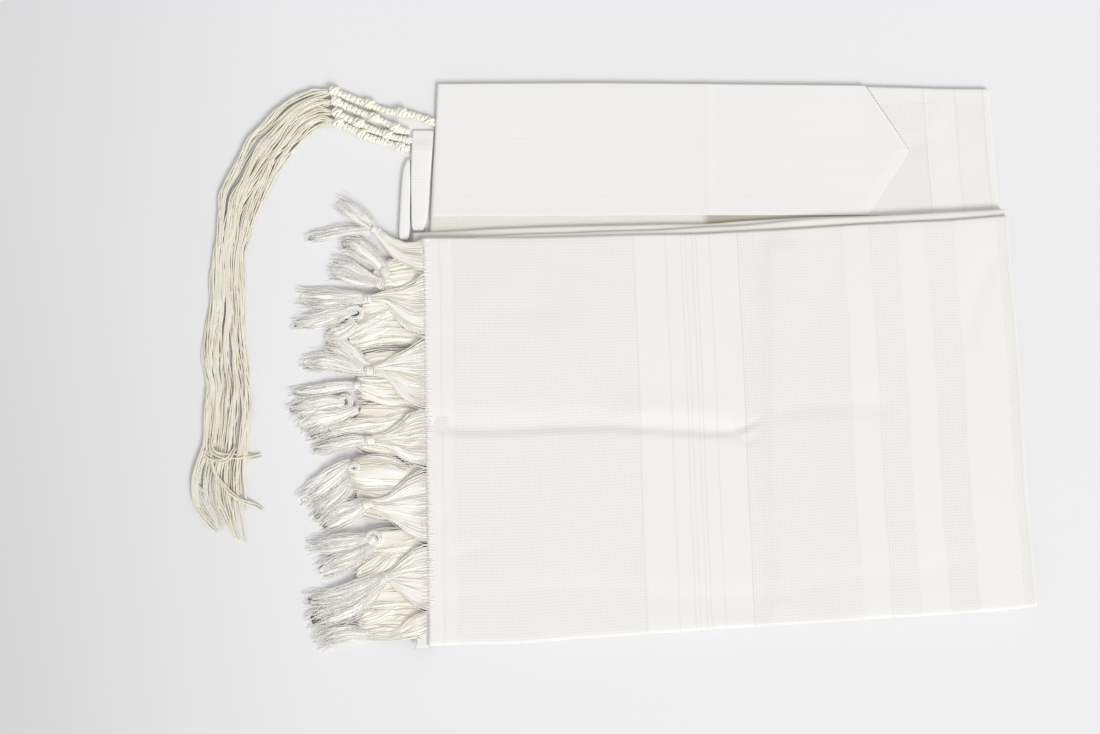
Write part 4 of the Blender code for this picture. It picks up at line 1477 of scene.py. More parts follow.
def makeFibreTree():
    # copies each guide line many times, spreads the copies round it, and gives each a round section
    rule = fibreRule
    tree, given, made = newNodeTree("fringeFibres", (("Wander", "Float", 0.0016), ("Seed", "Int", 1),
                                                     ("Sides", "Int", 4)))

    def named(label, kind="FLOAT"):
        read = addNode(tree, "GeometryNodeInputNamedAttribute", {"Name": label}, data_type=kind)
        return next(o for o in read.outputs if o.enabled and o.name == "Attribute")

    def store(geometry, label, value, domain, kind="FLOAT"):
        keep = addNode(tree, "GeometryNodeStoreNamedAttribute", {"Name": label, "Geometry": geometry},
                       data_type=kind, domain=domain)
        tree.links.new(value, next(i for i in keep.inputs if i.enabled and i.name == "Value"))
        return keep.outputs["Geometry"]

    def chance(low, high, shift):
        pick = addNode(tree, "FunctionNodeRandomValue", data_type="FLOAT")
        floats = [i for i in pick.inputs if i.enabled and i.type == "VALUE"]
        fill(tree, floats[0], low)
        fill(tree, floats[1], high)
        fill(tree, pick.inputs["Seed"], calc(tree, "ADD", given["Seed"], float(shift)))
        return next(o for o in pick.outputs if o.enabled)

    def minus(first, second):
        return calc(tree, "SUBTRACT", first, second)

    def position():
        return addNode(tree, "GeometryNodeInputPosition").outputs[0]

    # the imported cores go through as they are, and the guide lines are copied
    isCore = calc(tree, "GREATER_THAN", named("core"), 0.5)
    split = addNode(tree, "GeometryNodeSeparateGeometry",
                    {"Geometry": given["Geometry"], "Selection": isCore}, domain="POINT")
    curve = addNode(tree, "GeometryNodeMeshToCurve", {"Mesh": split.outputs["Inverted"]}).outputs[0]
    copies = addNode(tree, "GeometryNodeDuplicateElements", {"Geometry": curve, "Amount": named("count")},
                     domain="SPLINE")
    number = copies.outputs["Duplicate Index"]
    lane = calc(tree, "DIVIDE", calc(tree, "ADD", number, chance(0.0, 1.0, 0)), named("count"))
    lines = store(copies.outputs["Geometry"], "lane", timesPlus(tree, lane, 2.0, -1.0), "CURVE")
    lines = store(lines, "tier", chance(-1.0, 1.0, 11), "CURVE")
    lines = store(lines, "tone", chance(0.0, 1.0, 23), "CURVE")
    lines = store(lines, "stout", chance(*rule["stout"], 37), "CURVE")
    lines = store(lines, "reach", chance(0.0, 1.0, 51), "CURVE")

    lock = calc(tree, "SNAP", calc(tree, "ADD", named("lane"), rule["lockShift"]), rule["lockStep"])
    drawn = timesPlus(tree, minus(lock, named("lane")), named("lock"), named("lane"))
    wild = times(tree, calc(tree, "GREATER_THAN", named("stout"), rule["wild"]), named("ragged"))
    stray = timesPlus(tree, wild, rule["wildSpread"], 1.0)
    across = times(tree, times(tree, drawn, stray), named("spread"))
    room = calc(tree, "SQRT", calc(tree, "MAXIMUM", minus(1.0, times(tree, drawn, drawn)), 0.05))
    level = calc(tree, "SINE", times(tree, named("tier"), math.pi / 2))
    upward = times(tree, times(tree, level, named("lift")), room)
    sideways = scaled(tree, named("side", "FLOAT_VECTOR"), across)
    moved = vectorCalc(tree, "ADD", sideways, joinXyz(tree, z=upward))
    shift = joinXyz(tree, times(tree, named("tone"), 2.6), times(tree, drawn, 4.0))
    spot = vectorCalc(tree, "MULTIPLY_ADD", position(), (rule["noiseScale"],) * 3, shift)
    centred = vectorCalc(tree, "SUBTRACT", noiseAt(tree, spot, 1.0, 1.0, "Color"), (0.5, 0.5, 0.5))
    loose = scaled(tree, centred, times(tree, named("fluff"), given["Wander"]))
    moved = vectorCalc(tree, "ADD", moved, loose)
    spread = addNode(tree, "GeometryNodeSetPosition", {"Geometry": lines, "Offset": moved})
    place = splitXyz(tree, position())
    above = joinXyz(tree, place[0], place[1], calc(tree, "MAXIMUM", place[2], rule["lowest"]))
    laid = addNode(tree, "GeometryNodeSetPosition", {"Geometry": spread.outputs[0], "Position": above})

    trim = addNode(tree, "GeometryNodeTrimCurve", {"Curve": laid.outputs[0]}, mode="FACTOR")
    starts, ends = [i for i in trim.inputs if i.enabled and i.type == "VALUE"][:2]
    fill(tree, starts, times(tree, named("reach"), named("lead")))
    fill(tree, ends, minus(1.0, times(tree, named("reach"), named("ragged"))))
    sized = addNode(tree, "GeometryNodeSetCurveRadius",
                    {"Curve": trim.outputs[0], "Radius": times(tree, named("thick"), named("stout"))})
    along = addNode(tree, "GeometryNodeSplineParameter").outputs["Length"]
    measured = store(sized.outputs[0], "along", along, "POINT")
    measured = addNode(tree, "GeometryNodeSetCurveNormal", {"Curve": measured}, mode="Z_UP").outputs[0]
    ring = addNode(tree, "GeometryNodeCurvePrimitiveCircle", {"Resolution": given["Sides"], "Radius": 1.0})
    ringPlace = splitXyz(tree, position())
    ringed = store(ring.outputs[0], "ringX", ringPlace[0], "POINT")
    ringed = store(ringed, "ringY", ringPlace[1], "POINT")
    ringed = addNode(tree, "GeometryNodeTransform", {"Geometry": ringed, "Scale": rule["section"]}).outputs[0]
    tube = addNode(tree, "GeometryNodeCurveToMesh",
                   {"Curve": measured, "Profile Curve": ringed, "Fill Caps": True,
                    "Scale": addNode(tree, "GeometryNodeInputRadius").outputs[0]})
    yarn = joinXyz(tree, named("ringX"), named("ringY"), named("along"))
    tagged = store(tube.outputs[0], "yarn", yarn, "POINT", "FLOAT_VECTOR")
    # thin fibres keep flat faces, which shade brighter than smoothed ones
    both = addNode(tree, "GeometryNodeJoinGeometry")
    for geometry, smooth in ((tagged, False), (split.outputs["Selection"], True)):
        shaded = addNode(tree, "GeometryNodeSetShadeSmooth", {"Geometry": geometry, "Shade Smooth": smooth})
        tree.links.new(shaded.outputs[0], both.inputs[0])
    finishTree(tree, both.outputs[0], given, made)
    return tree


fibreTree = makeFibreTree()


def fromTree(name, mesh, tree, values):
    # runs a node tree on a mesh and gives back a plain mesh object
    source = bpy.data.objects.new(name + "_guides", mesh)
    bpy.context.collection.objects.link(source)
    made = source.modifiers.new("nodes", "NODES")
    made.node_group = tree
    for item in tree.interface.items_tree:
        if item.item_type == "SOCKET" and item.in_out == "INPUT" and item.name in values:
            made[item.identifier] = values[item.name]
    bpy.context.view_layer.update()
    graph = bpy.context.evaluated_depsgraph_get()
    plain = bpy.data.meshes.new_from_object(source.evaluated_get(graph))
    source.modifiers.clear()
    bpy.data.objects.remove(source, do_unlink=True)
    plain.name = name
    piece = bpy.data.objects.new(name, plain)
    bpy.context.collection.objects.link(piece)
    return piece


fringe = {
    # the number of yarns and half their depth; then points: x, y, z and half the width there
    "roots": {
        "b1": (34, 1.5, (-183.1, 83, 15.8, 14.2), (-188.1, 83, 15.8, 14.2), (-190.6, 83, 15.6, 14),
            (-194.0, 84, 14.9, 13), (-200, 85, 12, 11), (-210, 89, 9, 8), (-221, 98, 6.5, 4.4),
            (-231, 107.5, 5, 3)),
        "b2": (60, 1.6, (-182.1, 43, 15.8, 26.2), (-187.1, 43, 15.8, 26.2), (-189.6, 43, 15.6, 26),
            (-193.0, 43, 14.9, 25), (-200, 44, 12.5, 21), (-209, 47, 10, 13), (-220, 50, 7.5, 6),
            (-234, 49, 6, 3.4)),
        "b3": (66, 1.6, (-181.1, -12, 15.8, 29.3), (-186.1, -12, 15.8, 29.3), (-188.6, -12, 15.6, 29),
            (-192.0, -12, 14.9, 28), (-200, -11, 12.5, 24), (-210, -9, 10, 15), (-220, -8, 7.5, 7),
            (-234, -9, 6, 3.6)),
        "b4": (56, 1.6, (-180.0, -64, 15.8, 24.2), (-185.0, -64, 15.8, 24.2), (-187.5, -64, 15.6, 24),
            (-190.9, -64, 14.9, 23.2), (-199, -65, 12.5, 20.5), (-210, -65, 10, 12), (-220, -65, 7.5, 6.2),
            (-233, -66, 6, 4)),
        "b5": (68, 1.6, (-178.6, -118, 15.8, 30.2), (-183.6, -118, 15.8, 30.2), (-186.1, -118, 15.6, 30),
            (-189.5, -118, 14.9, 29.2), (-198, -118, 12.5, 25), (-209, -118, 10, 16), (-220, -118, 7.5, 8),
            (-234, -116, 6, 4.2)),
        "b6": (62, 1.6, (-177.5, -174, 15.8, 27), (-182.5, -174, 15.8, 27), (-185.0, -174, 15.6, 26.8),
            (-188.4, -174, 14.9, 25.8), (-196, -174, 12.5, 22), (-206, -174, 10, 13), (-213, -174, 8, 6.4),
            (-221, -174, 6.5, 3.6)),
        "b7": (24, 1.4, (-176.9, -208, 15.0, 9.4), (-181.9, -208, 15.0, 9.4), (-184.4, -209, 14.8, 9.2),
            (-187.8, -210, 14.1, 9), (-196, -214, 11, 8), (-206, -218, 8, 5), (-216, -220, 5.5, 4),
            (-232, -220, 4, 4)),
    },
    "lower": {
        "l1": (20, 1.5, (-190, 62, 7, 7), (-206, 61, 6, 6.4), (-214, 63, 5.5, 4.8), (-222, 69, 5.5, 3.6)),
        "l2": (58, 1.8, (-190, 36, 7, 13), (-206, 36, 6, 14), (-219, 29, 5, 15), (-233, 23, 4.5, 13),
            (-249, 15, 4, 9)),
        "l3": (34, 1.6, (-190, -29, 7, 12), (-205, -29, 6, 11), (-220, -28, 5, 9.6), (-234, -24, 5, 6.4),
            (-243, -21, 5, 3)),
        "l4": (26, 1.4, (-190, -46, 7, 6), (-205, -46, 7, 4.8), (-220, -50, 6, 4), (-240, -51, 5, 4),
            (-266, -56, 3, 5.6)),
        "l5": (84, 2.2, (-190, -94, 7, 9), (-204, -94, 7, 11), (-219, -92, 7.5, 15), (-234, -92, 7.5, 15),
            (-252, -92, 5, 9)),
        "l6": (40, 1.6, (-190, -148, 7, 7), (-205, -151, 6.5, 6), (-216, -159, 5.5, 8), (-227, -168, 5, 9.6),
            (-242, -175, 4, 7)),
        "l7": (40, 1.6, (-190, -194, 8, 7), (-202, -196, 7, 7), (-211, -201, 6, 8), (-224, -208, 5, 9.6),
            (-240, -212, 4, 8)),
    },
    # low yarns that fill the hollows under the others
    "under": {
        "u1": (40, 1.2, (-188, 72, 10, 16), (-204, 70, 7.5, 15), (-220, 68, 5, 13), (-232, 66, 3, 10)),
        "u2": (52, 1.2, (-188, 30, 10, 20), (-205, 30, 7.5, 19), (-225, 31, 5, 20), (-243, 30, 3, 18)),
        "u3": (60, 1.2, (-188, -14, 10, 24), (-205, -14, 7.5, 23), (-225, -14, 5, 23), (-244, -13, 3, 19)),
        "u4": (56, 1.2, (-188, -60, 10, 24), (-205, -58, 7.5, 22), (-225, -56, 5, 22), (-246, -52, 3, 18)),
        "u5": (56, 1.2, (-188, -106, 10, 24), (-205, -106, 7.5, 23), (-222, -106, 5, 24),
            (-242, -105, 3, 20)),
        "u6": (52, 1.2, (-188, -152, 10, 22), (-205, -154, 7.5, 20), (-222, -156, 5, 21),
            (-242, -158, 3, 17)),
        "u7": (56, 1.2, (-188, -198, 10, 24), (-205, -198, 7.5, 22), (-224, -199, 5, 21),
            (-244, -202, 3, 18)),
    },
    "tufts": {
        "t1a": (190, 2.4, (-227, 104, 5.5, 2.4), (-232, 109, 5, 3.6), (-242, 117, 4.5, 5.6),
            (-252, 124, 3.5, 7), (-264, 132, 2.5, 7)),
        "t1b": (130, 1.7, (-228, 106, 4.5, 2), (-236, 106.5, 4, 2.8), (-250, 106, 3.5, 3.2),
            (-271, 103, 2.6, 4), (-289, 99, 2, 4)),
        "t2a": (190, 2.6, (-219, 70, 5.5, 3), (-226, 78, 5.4, 4.6), (-235, 86, 5, 6.6), (-248, 95, 4, 7.4),
            (-261, 94, 3, 6.6)),
        "t2b": (230, 2.6, (-222, 62, 5, 3), (-230, 64, 5, 4.6), (-242, 68, 4.5, 7.4), (-254, 74, 3.5, 9.6),
            (-269, 77, 2.5, 11)),
        "t3a": (240, 2.5, (-232, 49, 6, 3), (-240, 50, 5.6, 4.4), (-250, 50, 5, 6), (-270, 50, 3.5, 8.8),
            (-295, 51, 2.4, 9)),
        "t3b": (150, 2.0, (-244, 41, 5, 2.6), (-250, 39.5, 5, 3.4), (-262, 36, 4, 6.4), (-278, 32, 3, 6.4),
            (-299, 28, 2, 4)),
        "t3c": (150, 2.2, (-244, 30, 5, 4), (-252, 24, 4.5, 6), (-262, 20, 3.4, 8), (-272, 20, 2.4, 7)),
        "t4a": (230, 2.5, (-232, -9, 6, 3), (-240, -8, 5.8, 4.6), (-249, -6, 5, 6.4), (-265, -2, 3.5, 8),
            (-291, -3, 2, 6.4)),
        "t4b": (190, 2.5, (-233, -7, 5.5, 3), (-240, -2, 5.2, 5), (-248, 4, 4.5, 8), (-259, 11, 3.5, 8.8),
            (-272, 14, 2.5, 5.6)),
        "t5a": (140, 1.9, (-241, -21, 5, 2.6), (-247, -21.4, 4.8, 3.2), (-257, -22, 4.5, 4),
            (-277, -25, 3.5, 4.8), (-300, -26, 2, 3.2)),
        "t5b": (160, 2.0, (-253, -34, 5, 3), (-259, -34, 4.6, 4), (-269, -34, 4, 5.6), (-285, -38, 3, 6.4),
            (-301, -40, 2, 4)),
        "t5c": (210, 2.2, (-242, -40, 5, 2.6), (-248, -41.4, 4.8, 4), (-260, -45, 4, 6.4),
            (-279, -49, 3, 9.6), (-291, -57, 2, 11)),
        "t6a": (180, 2.4, (-231, -65, 6, 3), (-239, -65.6, 5.6, 4), (-248, -66, 5, 5.6),
            (-264, -70, 3.5, 5.6), (-281, -73, 2, 4)),
        "t6b": (160, 2.0, (-220, -52, 5.4, 2.4), (-230, -53, 5, 3.4), (-244, -54, 4.5, 4.8),
            (-264, -57, 3, 5.6), (-285, -63, 2, 5.6)),
        "t7a": (210, 2.4, (-246, -84, 5.8, 4), (-251, -87, 5.4, 5.6), (-264, -96, 4.5, 7.2),
            (-276, -105, 3, 7.2), (-290, -115, 2, 6)),
        "t7b": (200, 2.3, (-243, -95, 5.4, 4.4), (-249, -101, 5, 6), (-257, -110, 4, 7.2),
            (-268, -119, 3, 7.2), (-278, -129, 2, 6)),
        "t8": (220, 2.5, (-232, -115, 6, 3.4), (-238, -117.5, 5.6, 5), (-245, -121, 5, 7.2),
            (-256, -126, 3.5, 8.8), (-272, -136, 2, 7)),
        "t9a": (190, 2.3, (-230, -142, 5.8, 3), (-238, -144, 5.4, 4), (-248, -146, 5, 5.6),
            (-264, -148, 3.5, 6.4), (-283, -150, 2, 5.6)),
        "t9b": (210, 2.3, (-227, -149, 5, 2.8), (-236, -154, 4.8, 5), (-246, -159, 4.4, 7.2),
            (-260, -164, 3.5, 8.8), (-274, -171, 2, 7.6)),
        "t10a": (240, 2.6, (-217, -173, 6.8, 3), (-225, -177, 6.2, 5), (-234, -182, 5.5, 7.2),
            (-254, -190, 4, 8), (-285, -193, 2, 6)),
        "t10b": (240, 2.4, (-219, -177, 5.8, 3.4), (-228, -186, 5.4, 5), (-240, -195, 5, 7.2),
            (-259, -202, 3.5, 8.8), (-282, -210, 2, 7.6)),
        "t10c": (170, 2.0, (-228, -220, 4.2, 3.4), (-236, -219, 4.2, 4.6), (-247, -218, 4, 6.4),
            (-262, -221, 3, 7.2), (-276, -227, 2, 6)),
    },
    # knots wound round a tuft's neck: x, y, z, heading in degrees, radius, half length, turns, yarns
    "knots": {
        "k1": (-229.5, 106, 5.2, 150, 3.1, 2.6, 1.6, 7),
        "k2a": (-221, 71, 5.6, 130, 3.4, 3.0, 1.7, 8), "k2b": (-226.2, 61, 5.2, 150, 2.6, 3.6, 1.5, 7),
        "k2c": (-216.5, 56.5, 5, 170, 2.4, 3.4, 1.5, 6),
        "k3": (-234.5, 49.4, 6, 178, 3.3, 2.8, 1.6, 8),
        "k4": (-232.5, -9, 6.2, 180, 3.5, 3.0, 1.7, 8),
        "k5": (-242.2, -21.2, 5.2, 182, 2.8, 2.4, 1.5, 6),
        "k6": (-231.5, -65, 6.2, 184, 3.5, 3.0, 1.6, 8),
        "k8": (-233, -116, 6.2, 200, 3.6, 3.2, 1.7, 8),
        "k9": (-229, -144, 5.8, 196, 3.0, 2.8, 1.5, 7),
        "k10": (-219, -174.5, 6.8, 205, 3.4, 3.2, 1.6, 8),
    },
    # yarn loops that lie open: x, y, z, radius along x and y, half width, yarns
    "loops": {
        "loop3": (-246, 38, 5.2, 6.4, 4.4, 1.7, 16),
        "ring5": (-252.4, -34.2, 5.2, 4.6, 4.8, 1.9, 16),
        "ring9": (-228, -142.5, 6.4, 5.0, 4.6, 1.8, 16),
        "ring7": (-244, -87, 8.2, 3.4, 3.0, 1.6, 12),
    },
    # which rows each tassel of the part stands for
    "tassels": (
        ("b1", "t1a", "t1b", "k1"),
        ("u1", "l1", "t2a", "t2b", "k2a", "k2b", "k2c"),
        ("u2", "b2", "l2", "t3a", "t3b", "t3c", "k3", "loop3"),
        ("u3", "b3", "l3", "t4a", "t4b", "t5a", "k4", "k5"),
        ("u4", "b4", "l4", "t5b", "t5c", "t6a", "t6b", "k6", "ring5"),
        ("u5", "b5", "l5", "t7a", "t7b", "t8", "k8", "ring7"),
        ("u6", "l6", "t9a", "t9b", "k9", "ring9"),
        ("u7", "b6", "b7", "l7", "t10a", "t10b", "t10c", "k10"),
    ),
    "yarnRadius": 0.5,
    "fibreRadius": 0.23,
    # how many of a row's yarns lie loose round its packed core
    "fibreShare": 0.68,
    "yarnShare": 0.9,
    "coreWidth": 0.9,
    "coreHeight": 0.9,
    "ridge": 0.3,
    "lobe": 0.5,
    # the share of its length over which each kind grows thin
    "thinning": {"tufts": 0.65, "roots": 0.15, "lower": 0.3, "under": 0.5},
    # how far each kind is tinted towards the painted shade colour
    "low": {"tufts": 0.0, "roots": 0.25, "lower": 0.38, "under": 0.6},
    # and how much more painted shade its sides get
    "sideShade": 1.2,
    "wander": 0.0042,
    "step": 4.8,
    # how far a tuft's end sinks, how uneven its ends are, and its depth
    "tuftSink": 0.5,
    "tuftRagged": 0.34,
    "tuftDepth": 0.8,
    # gathering in locks, straying, thickness and depth of a tuft: at its start, and lost or won at its end
    "tuftLock": (0.75, 0.35),
    "tuftFluff": (0.4, 1.5),
    "tuftThick": (1.25, 0.45),
    "tuftLift": (1.15, 0.55),
    # a root's straying at its ends and between them, and its depth where it leaves the cloth
    "rootLock": 0.25,
    "rootFluff": (0.12, 0.75),
    "rootThin": 0.7,
    "rootLead": 0.10,
    "rootLift": 0.15,
    "bunchLock": 0.3,
    "bunchFluff": (0.5, 0.6),
    "bunchThick": 0.95,
    "bunchRagged": 0.12,
}


def guideFrom(kind, count, lift, *rows):
    # one guide line with what the node tree reads at each of its points
    look = fringe
    tuft = kind == "tufts"
    line = smoothLine(rows, look["step"])
    points, half = line[:, :3], line[:, 3]
    share = np.linspace(0, 1, len(line))
    if tuft:
        points[:, 2] *= 1 - look["tuftSink"] * share ** 2
    run = np.gradient(points[:, :2], axis=0)
    run /= np.linalg.norm(run, axis=1)[:, None]
    side = np.column_stack([-run[:, 1], run[:, 0], np.zeros(len(run))])
    yarn, fibre = look["yarnRadius"], look["fibreRadius"]
    guide = {"points": points * mm, "side": side, "spread": half * mm, "low": look["low"][kind],
             "count": int(count * look["fibreShare" if tuft else "yarnShare"])}
    if tuft:
        lock, fluff, thick, deep = (look[key] for key in ("tuftLock", "tuftFluff", "tuftThick", "tuftLift"))
        guide.update(lock=lock[0] * np.clip(share * 2.2, 0, 1) * (1 - lock[1] * share),
                     fluff=fluff[0] + fluff[1] * share, thick=fibre * (thick[0] - thick[1] * share) * mm,
                     ragged=look["tuftRagged"],
                     lift=look["tuftDepth"] * lift * (deep[0] - deep[1] * share) * mm)
    elif kind == "roots":
        bow = np.sin(share * math.pi)
        fluff, least = look["rootFluff"], look["rootLift"]
        guide.update(lock=look["rootLock"] * bow ** 2, fluff=fluff[0] + fluff[1] * bow ** 1.5,
                     thick=yarn * np.clip(look["rootThin"] + 3 * share, 0, 1) * mm, lead=look["rootLead"],
                     lift=(least + (lift - least) * np.clip(share * 1.6 - 0.25, 0, 1)) * mm)
    else:
        fluff = look["bunchFluff"]
        guide.update(lock=look["bunchLock"], fluff=fluff[0] + fluff[1] * share,
                     thick=yarn * look["bunchThick"] * mm, ragged=look["bunchRagged"],
                     lift=np.full(len(line), lift * mm))
    return guide


def knotGuide(x, y, z, heading, radius, half, turns, count):
    angle = math.radians(heading)
    axis = np.array((math.cos(angle), math.sin(angle), 0))
    cross = np.array((-axis[1], axis[0], 0))
    turn = np.linspace(0.5, 0.5 + 2 * math.pi * turns, int(11 * turns))
    points = np.array((x, y, z)) + radius * spoke(turn, cross, np.array((0, 0, 1.0)))
    points = points + axis * np.linspace(-0.35, 0.35, len(turn))[:, None] * half
    # a knot's yarns take a little of the painted shade colour (low)
    return {"points": points * mm, "side": np.tile(axis, (len(turn), 1)), "spread": half * mm, "count": count,
            "fluff": 0.3, "thick": fringe["yarnRadius"] * 1.15 * mm, "low": 0.2, "lift": 0.2 * mm}


def loopGuide(x, y, z, wide, tall, half, count):
    turn = np.linspace(0, 2 * math.pi * 1.05, 17)
    flat = np.zeros(len(turn))
    out = np.column_stack([np.cos(turn), np.sin(turn), flat])
    points = np.array((x, y, z)) + out * (wide, tall, 0)
    points = points + np.column_stack([flat, flat, 0.7 * np.sin(turn + 1)])
    return {"points": points * mm, "side": out, "spread": half * mm, "count": count, "lock": 0.2,
            "fluff": 0.35, "thick": fringe["yarnRadius"] * mm, "ragged": 0.05, "lift": 1.5 * mm}


cores = {
    "around": 72,
    # how much of its guide a core follows at most, and how much less where it is uneven
    "reach": {"tufts": (0.93, 0.24), "other": (1, 0.05)},
    "rootStart": 0.07,
    # the last share of its length, over which it grows flat or narrow
    "flatEnd": 0.15,
    "narrowEnd": {"tufts": 0.35, "other": 0.1},
    # how far a core lies below its loose yarns, and how much more a root does under the cloth's edge
    "sunk": 0.2,
    "rootSunk": 0.7,
    "lowest": 0.0003,
}


def corePart(guide, kind, generator):
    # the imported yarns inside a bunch: a ridged oval tube along its guide, flat and uneven at its far end
    look = cores
    tuft = kind == "tufts"
    endKind = "tufts" if tuft else "other"
    around, steps = look["around"], len(guide["points"]) + 4
    turn = np.linspace(0, 2 * math.pi, around, endpoint=False)
    share = np.linspace(0, 1, len(guide["points"]))
    lobes = sum(generator.normal() * np.cos(k * turn + generator.uniform(0, 6.3)) for k in range(3, 8))
    uneven = (0.5 + 0.5 * np.sin(lobes + 5 * turn)) * generator.uniform(0.6, 1, around)
    reach = look["reach"][endKind][0] - look["reach"][endKind][1] * uneven
    knots = generator.normal(size=(max(3, steps // 4), around))
    knots = (np.roll(knots, 1, 1) + 2 * knots + np.roll(knots, -1, 1)) / 2.45
    at = np.linspace(0, 1, steps)
    ridges = np.array([np.interp(at, np.linspace(0, 1, len(knots)), column) for column in knots.T]).T
    start = look["rootStart"] if kind == "roots" else 0.0
    spots = start + at[:, None] * (reach[None, :] - start)
    ending = np.clip((1 - at[:, None]) / look["flatEnd"], 0.04, 1)

    def along(values):
        return np.interp(spots, share, np.asarray(values, float))

    centre = np.stack([along(guide["points"][:, k]) for k in range(3)], -1)
    side = np.stack([along(guide["side"][:, k]) for k in range(3)], -1)
    opened = np.clip(0.75 + spots * 2, 0, 1) if tuft else 1.0
    thinned = np.sqrt(np.clip((1.0 - spots) / fringe["thinning"][kind], 0.03, 1))
    # a tuft thins out to its end, and a bunch is drawn in at its knot
    narrowed = np.sqrt(np.clip((1.0 - spots) / look["narrowEnd"][endKind], 0.12, 1))
    half = along(guide["spread"]) * opened * fringe["coreWidth"] * narrowed
    tall = along(guide["lift"]) * opened * thinned * ending * fringe["coreHeight"]
    rough = np.minimum(fringe["ridge"] * mm, 0.1 * half) * ending * np.clip((spots - start) * 6, 0, 1)
    swell = rough * (ridges + fringe["lobe"] * lobes[None, :] * np.clip(spots * 3, 0, 1))
    ring = centre + (np.cos(turn) * (half + swell))[..., None] * side
    sunk = look["sunk"] + (look["rootSunk"] * np.clip(1 - spots * 4, 0, 1) if kind == "roots" else 0)
    ring[..., 2] += np.sin(turn) * (tall + swell) - sunk * mm
    if tuft:
        # a tuft's underside rests on the table, and so does its end
        ring[..., 2] *= np.clip(1 + np.sin(turn) * 1.4, 0, 1) * (0.3 + 0.7 * ending)
    ring[..., 2] = np.maximum(ring[..., 2], look["lowest"])
    # painted shade: the valleys between ridges and a core's sides and underside are tinted towards the darker
    # deep colour
    low = 0.12 - 0.4 * ridges + fringe["low"][kind]
    low = low + fringe["sideShade"] * np.clip(0.45 - np.sin(turn), 0, 1)[None, :]
    yarn = np.stack([np.broadcast_to(np.cos(turn), spots.shape), np.broadcast_to(np.sin(turn), spots.shape),
                     spots * lineLength(guide["points"])], -1)
    faces = loopFaces(around, steps, flip=True, capped=True)
    return {"points": ring.reshape(-1, 3), "faces": faces, "yarn": yarn.reshape(-1, 3), "core": 1.0,
            "low": np.clip(low, 0, 1).ravel()}


def guideMesh(parts):
    # guide lines and cores in one mesh, with what the node tree reads as attributes
    points, edges, faces = [], [], []
    columns = {key: [] for key in ("core", "spread", "lift", "thick", "fluff", "lock", "count", "ragged",
                                   "lead", "low")}
    vectors = {"yarn": [], "side": []}
    for part in parts:
        base, n = len(points), len(part["points"])
        points.extend(tuple(p) for p in part["points"])
        if "faces" in part:
            faces.extend(tuple(base + k for k in face) for face in part["faces"])
        else:
            edges.extend((base + k, base + k + 1) for k in range(n - 1))
        for key, column in columns.items():
            column.append(np.broadcast_to(np.asarray(part.get(key, 0.0), float), (n,)))
        for key, rows in vectors.items():
            rows.append(part.get(key, np.zeros((n, 3))))
    mesh = bpy.data.meshes.new("guides")
    mesh.from_pydata(points, edges, faces)
    for key, column in columns.items():
        setAttribute(mesh, key, "FLOAT", np.concatenate(column))
    for key, rows in vectors.items():
        setAttribute(mesh, key, "FLOAT_VECTOR", np.vstack(rows))
    return mesh


def makeFringe():
    generator = np.random.default_rng(77)
    for number, rows in enumerate(fringe["tassels"], 1):
        guides, packed = [], []
        for key in rows:
            for kind in ("roots", "lower", "under", "tufts"):
                if key in fringe[kind]:
                    guides.append(guideFrom(kind, *fringe[kind][key]))
                    packed.append(corePart(guides[-1], kind, generator))
            if key in fringe["knots"]:
                guides.append(knotGuide(*fringe["knots"][key]))
            if key in fringe["loops"]:
                guides.append(loopGuide(*fringe["loops"][key]))
        piece = fromTree("fringe_tassel_%d_yarns" % number, guideMesh(guides + packed), fibreTree,
                         {"Wander": fringe["wander"], "Seed": 60 + number, "Sides": 4, "Material": woolYarn})
        print("fringe tassel", number, len(piece.data.polygons), "faces")
        settle(piece, "fringe_tassel_%d" % number)


makeFringe()
print("fringe made")


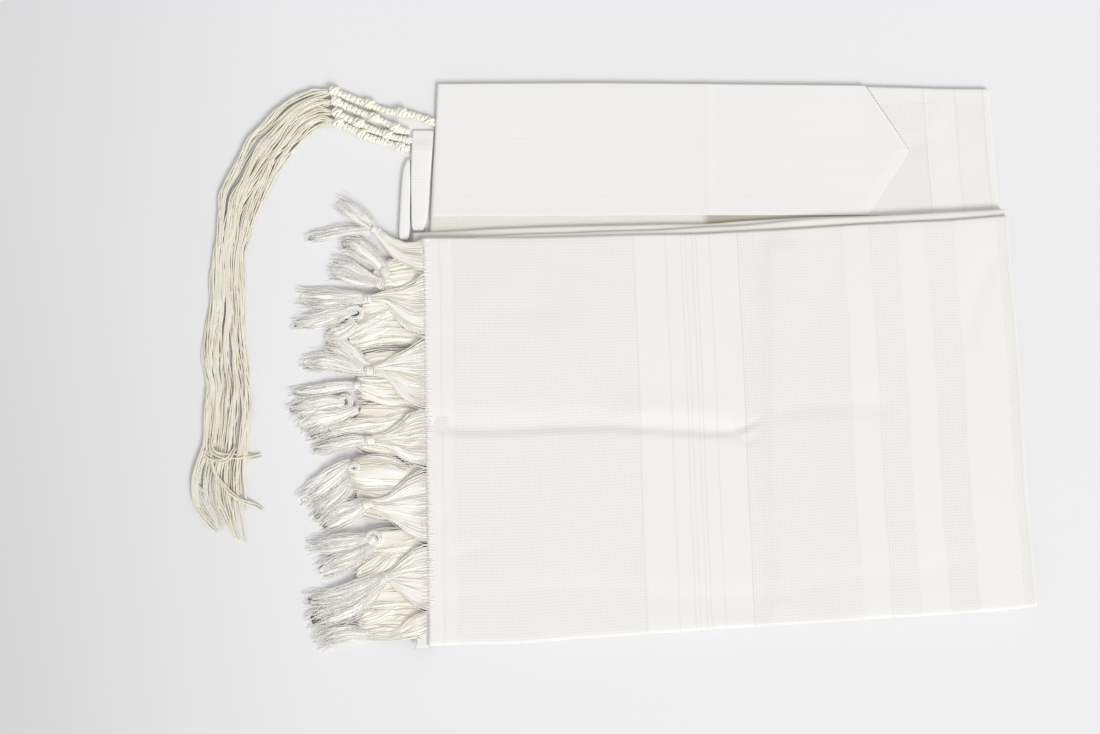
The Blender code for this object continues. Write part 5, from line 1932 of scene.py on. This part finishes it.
def makeStitchTree():
    # one short stitch at every step along a line
    tree, given, made = newNodeTree("stitchRow", (("Pitch", "Float", 0.0029), ("Length", "Float", 0.0019),
                                                  ("Width", "Float", 0.0005)))
    curve = addNode(tree, "GeometryNodeMeshToCurve", {"Mesh": given["Geometry"]})
    spots = addNode(tree, "GeometryNodeCurveToPoints", {"Curve": curve.outputs[0], "Length": given["Pitch"]},
                    mode="LENGTH")
    bead = addNode(tree, "GeometryNodeMeshUVSphere", {"Segments": 8, "Rings": 5, "Radius": 0.5})
    size = joinXyz(tree, given["Width"], given["Width"], given["Length"])
    placed = addNode(tree, "GeometryNodeInstanceOnPoints",
                     {"Points": spots.outputs["Points"], "Instance": bead.outputs["Mesh"],
                      "Rotation": spots.outputs["Rotation"], "Scale": size})
    finishTree(tree, placed.outputs[0], given, made)
    return tree


stitches = {
    # the seam along the neckband's upper slant, and the raised thread inside it
    "seam": ((172.6, 225.6, 5.62), (189.2, 199.7, 5.62), (205.3, 174.2, 5.62)),
    "thread": ((171.2, 224.9, 5.6), (187.9, 198.9, 5.6), (203.9, 173.6, 5.6)),
    "seamColour": (0.50, 0.46, 0.38),
    "threadRadius": 0.28,
    "pitch": 0.0027,
    "length": 0.0021,
    "width": 0.00062,
}


def plainMaterial(name, colour):
    material, tree, shader = newMaterial(name, 0.8, 0.1)
    tone = unevenTone(tree, objectPlace(tree), 90.0, colour, [0.9 * part for part in colour])
    tree.links.new(tone, shader["Base Color"])
    return material


def makeStitches():
    look = stitches
    mesh = bpy.data.meshes.new("seam")
    line = smoothLine(look["seam"], 2.0) * mm
    mesh.from_pydata([tuple(p) for p in line], [(k, k + 1) for k in range(len(line) - 1)], [])
    seam = fromTree("neckband_seam_stitches", mesh, makeStitchTree(),
                    {"Pitch": look["pitch"], "Length": look["length"], "Width": look["width"],
                     "Material": plainMaterial("seamThread", look["seamColour"])})
    settle(seam, "neckband")
    points, faces, yarns = tubeParts(smoothLine(look["thread"], 2.0) * mm, look["threadRadius"] * mm, 6)
    thread = meshPiece("neckband_edge_thread", points, faces, woolYarn, yarn=yarns)
    settle(thread, "neckband")


makeStitches()
print("stitches made")
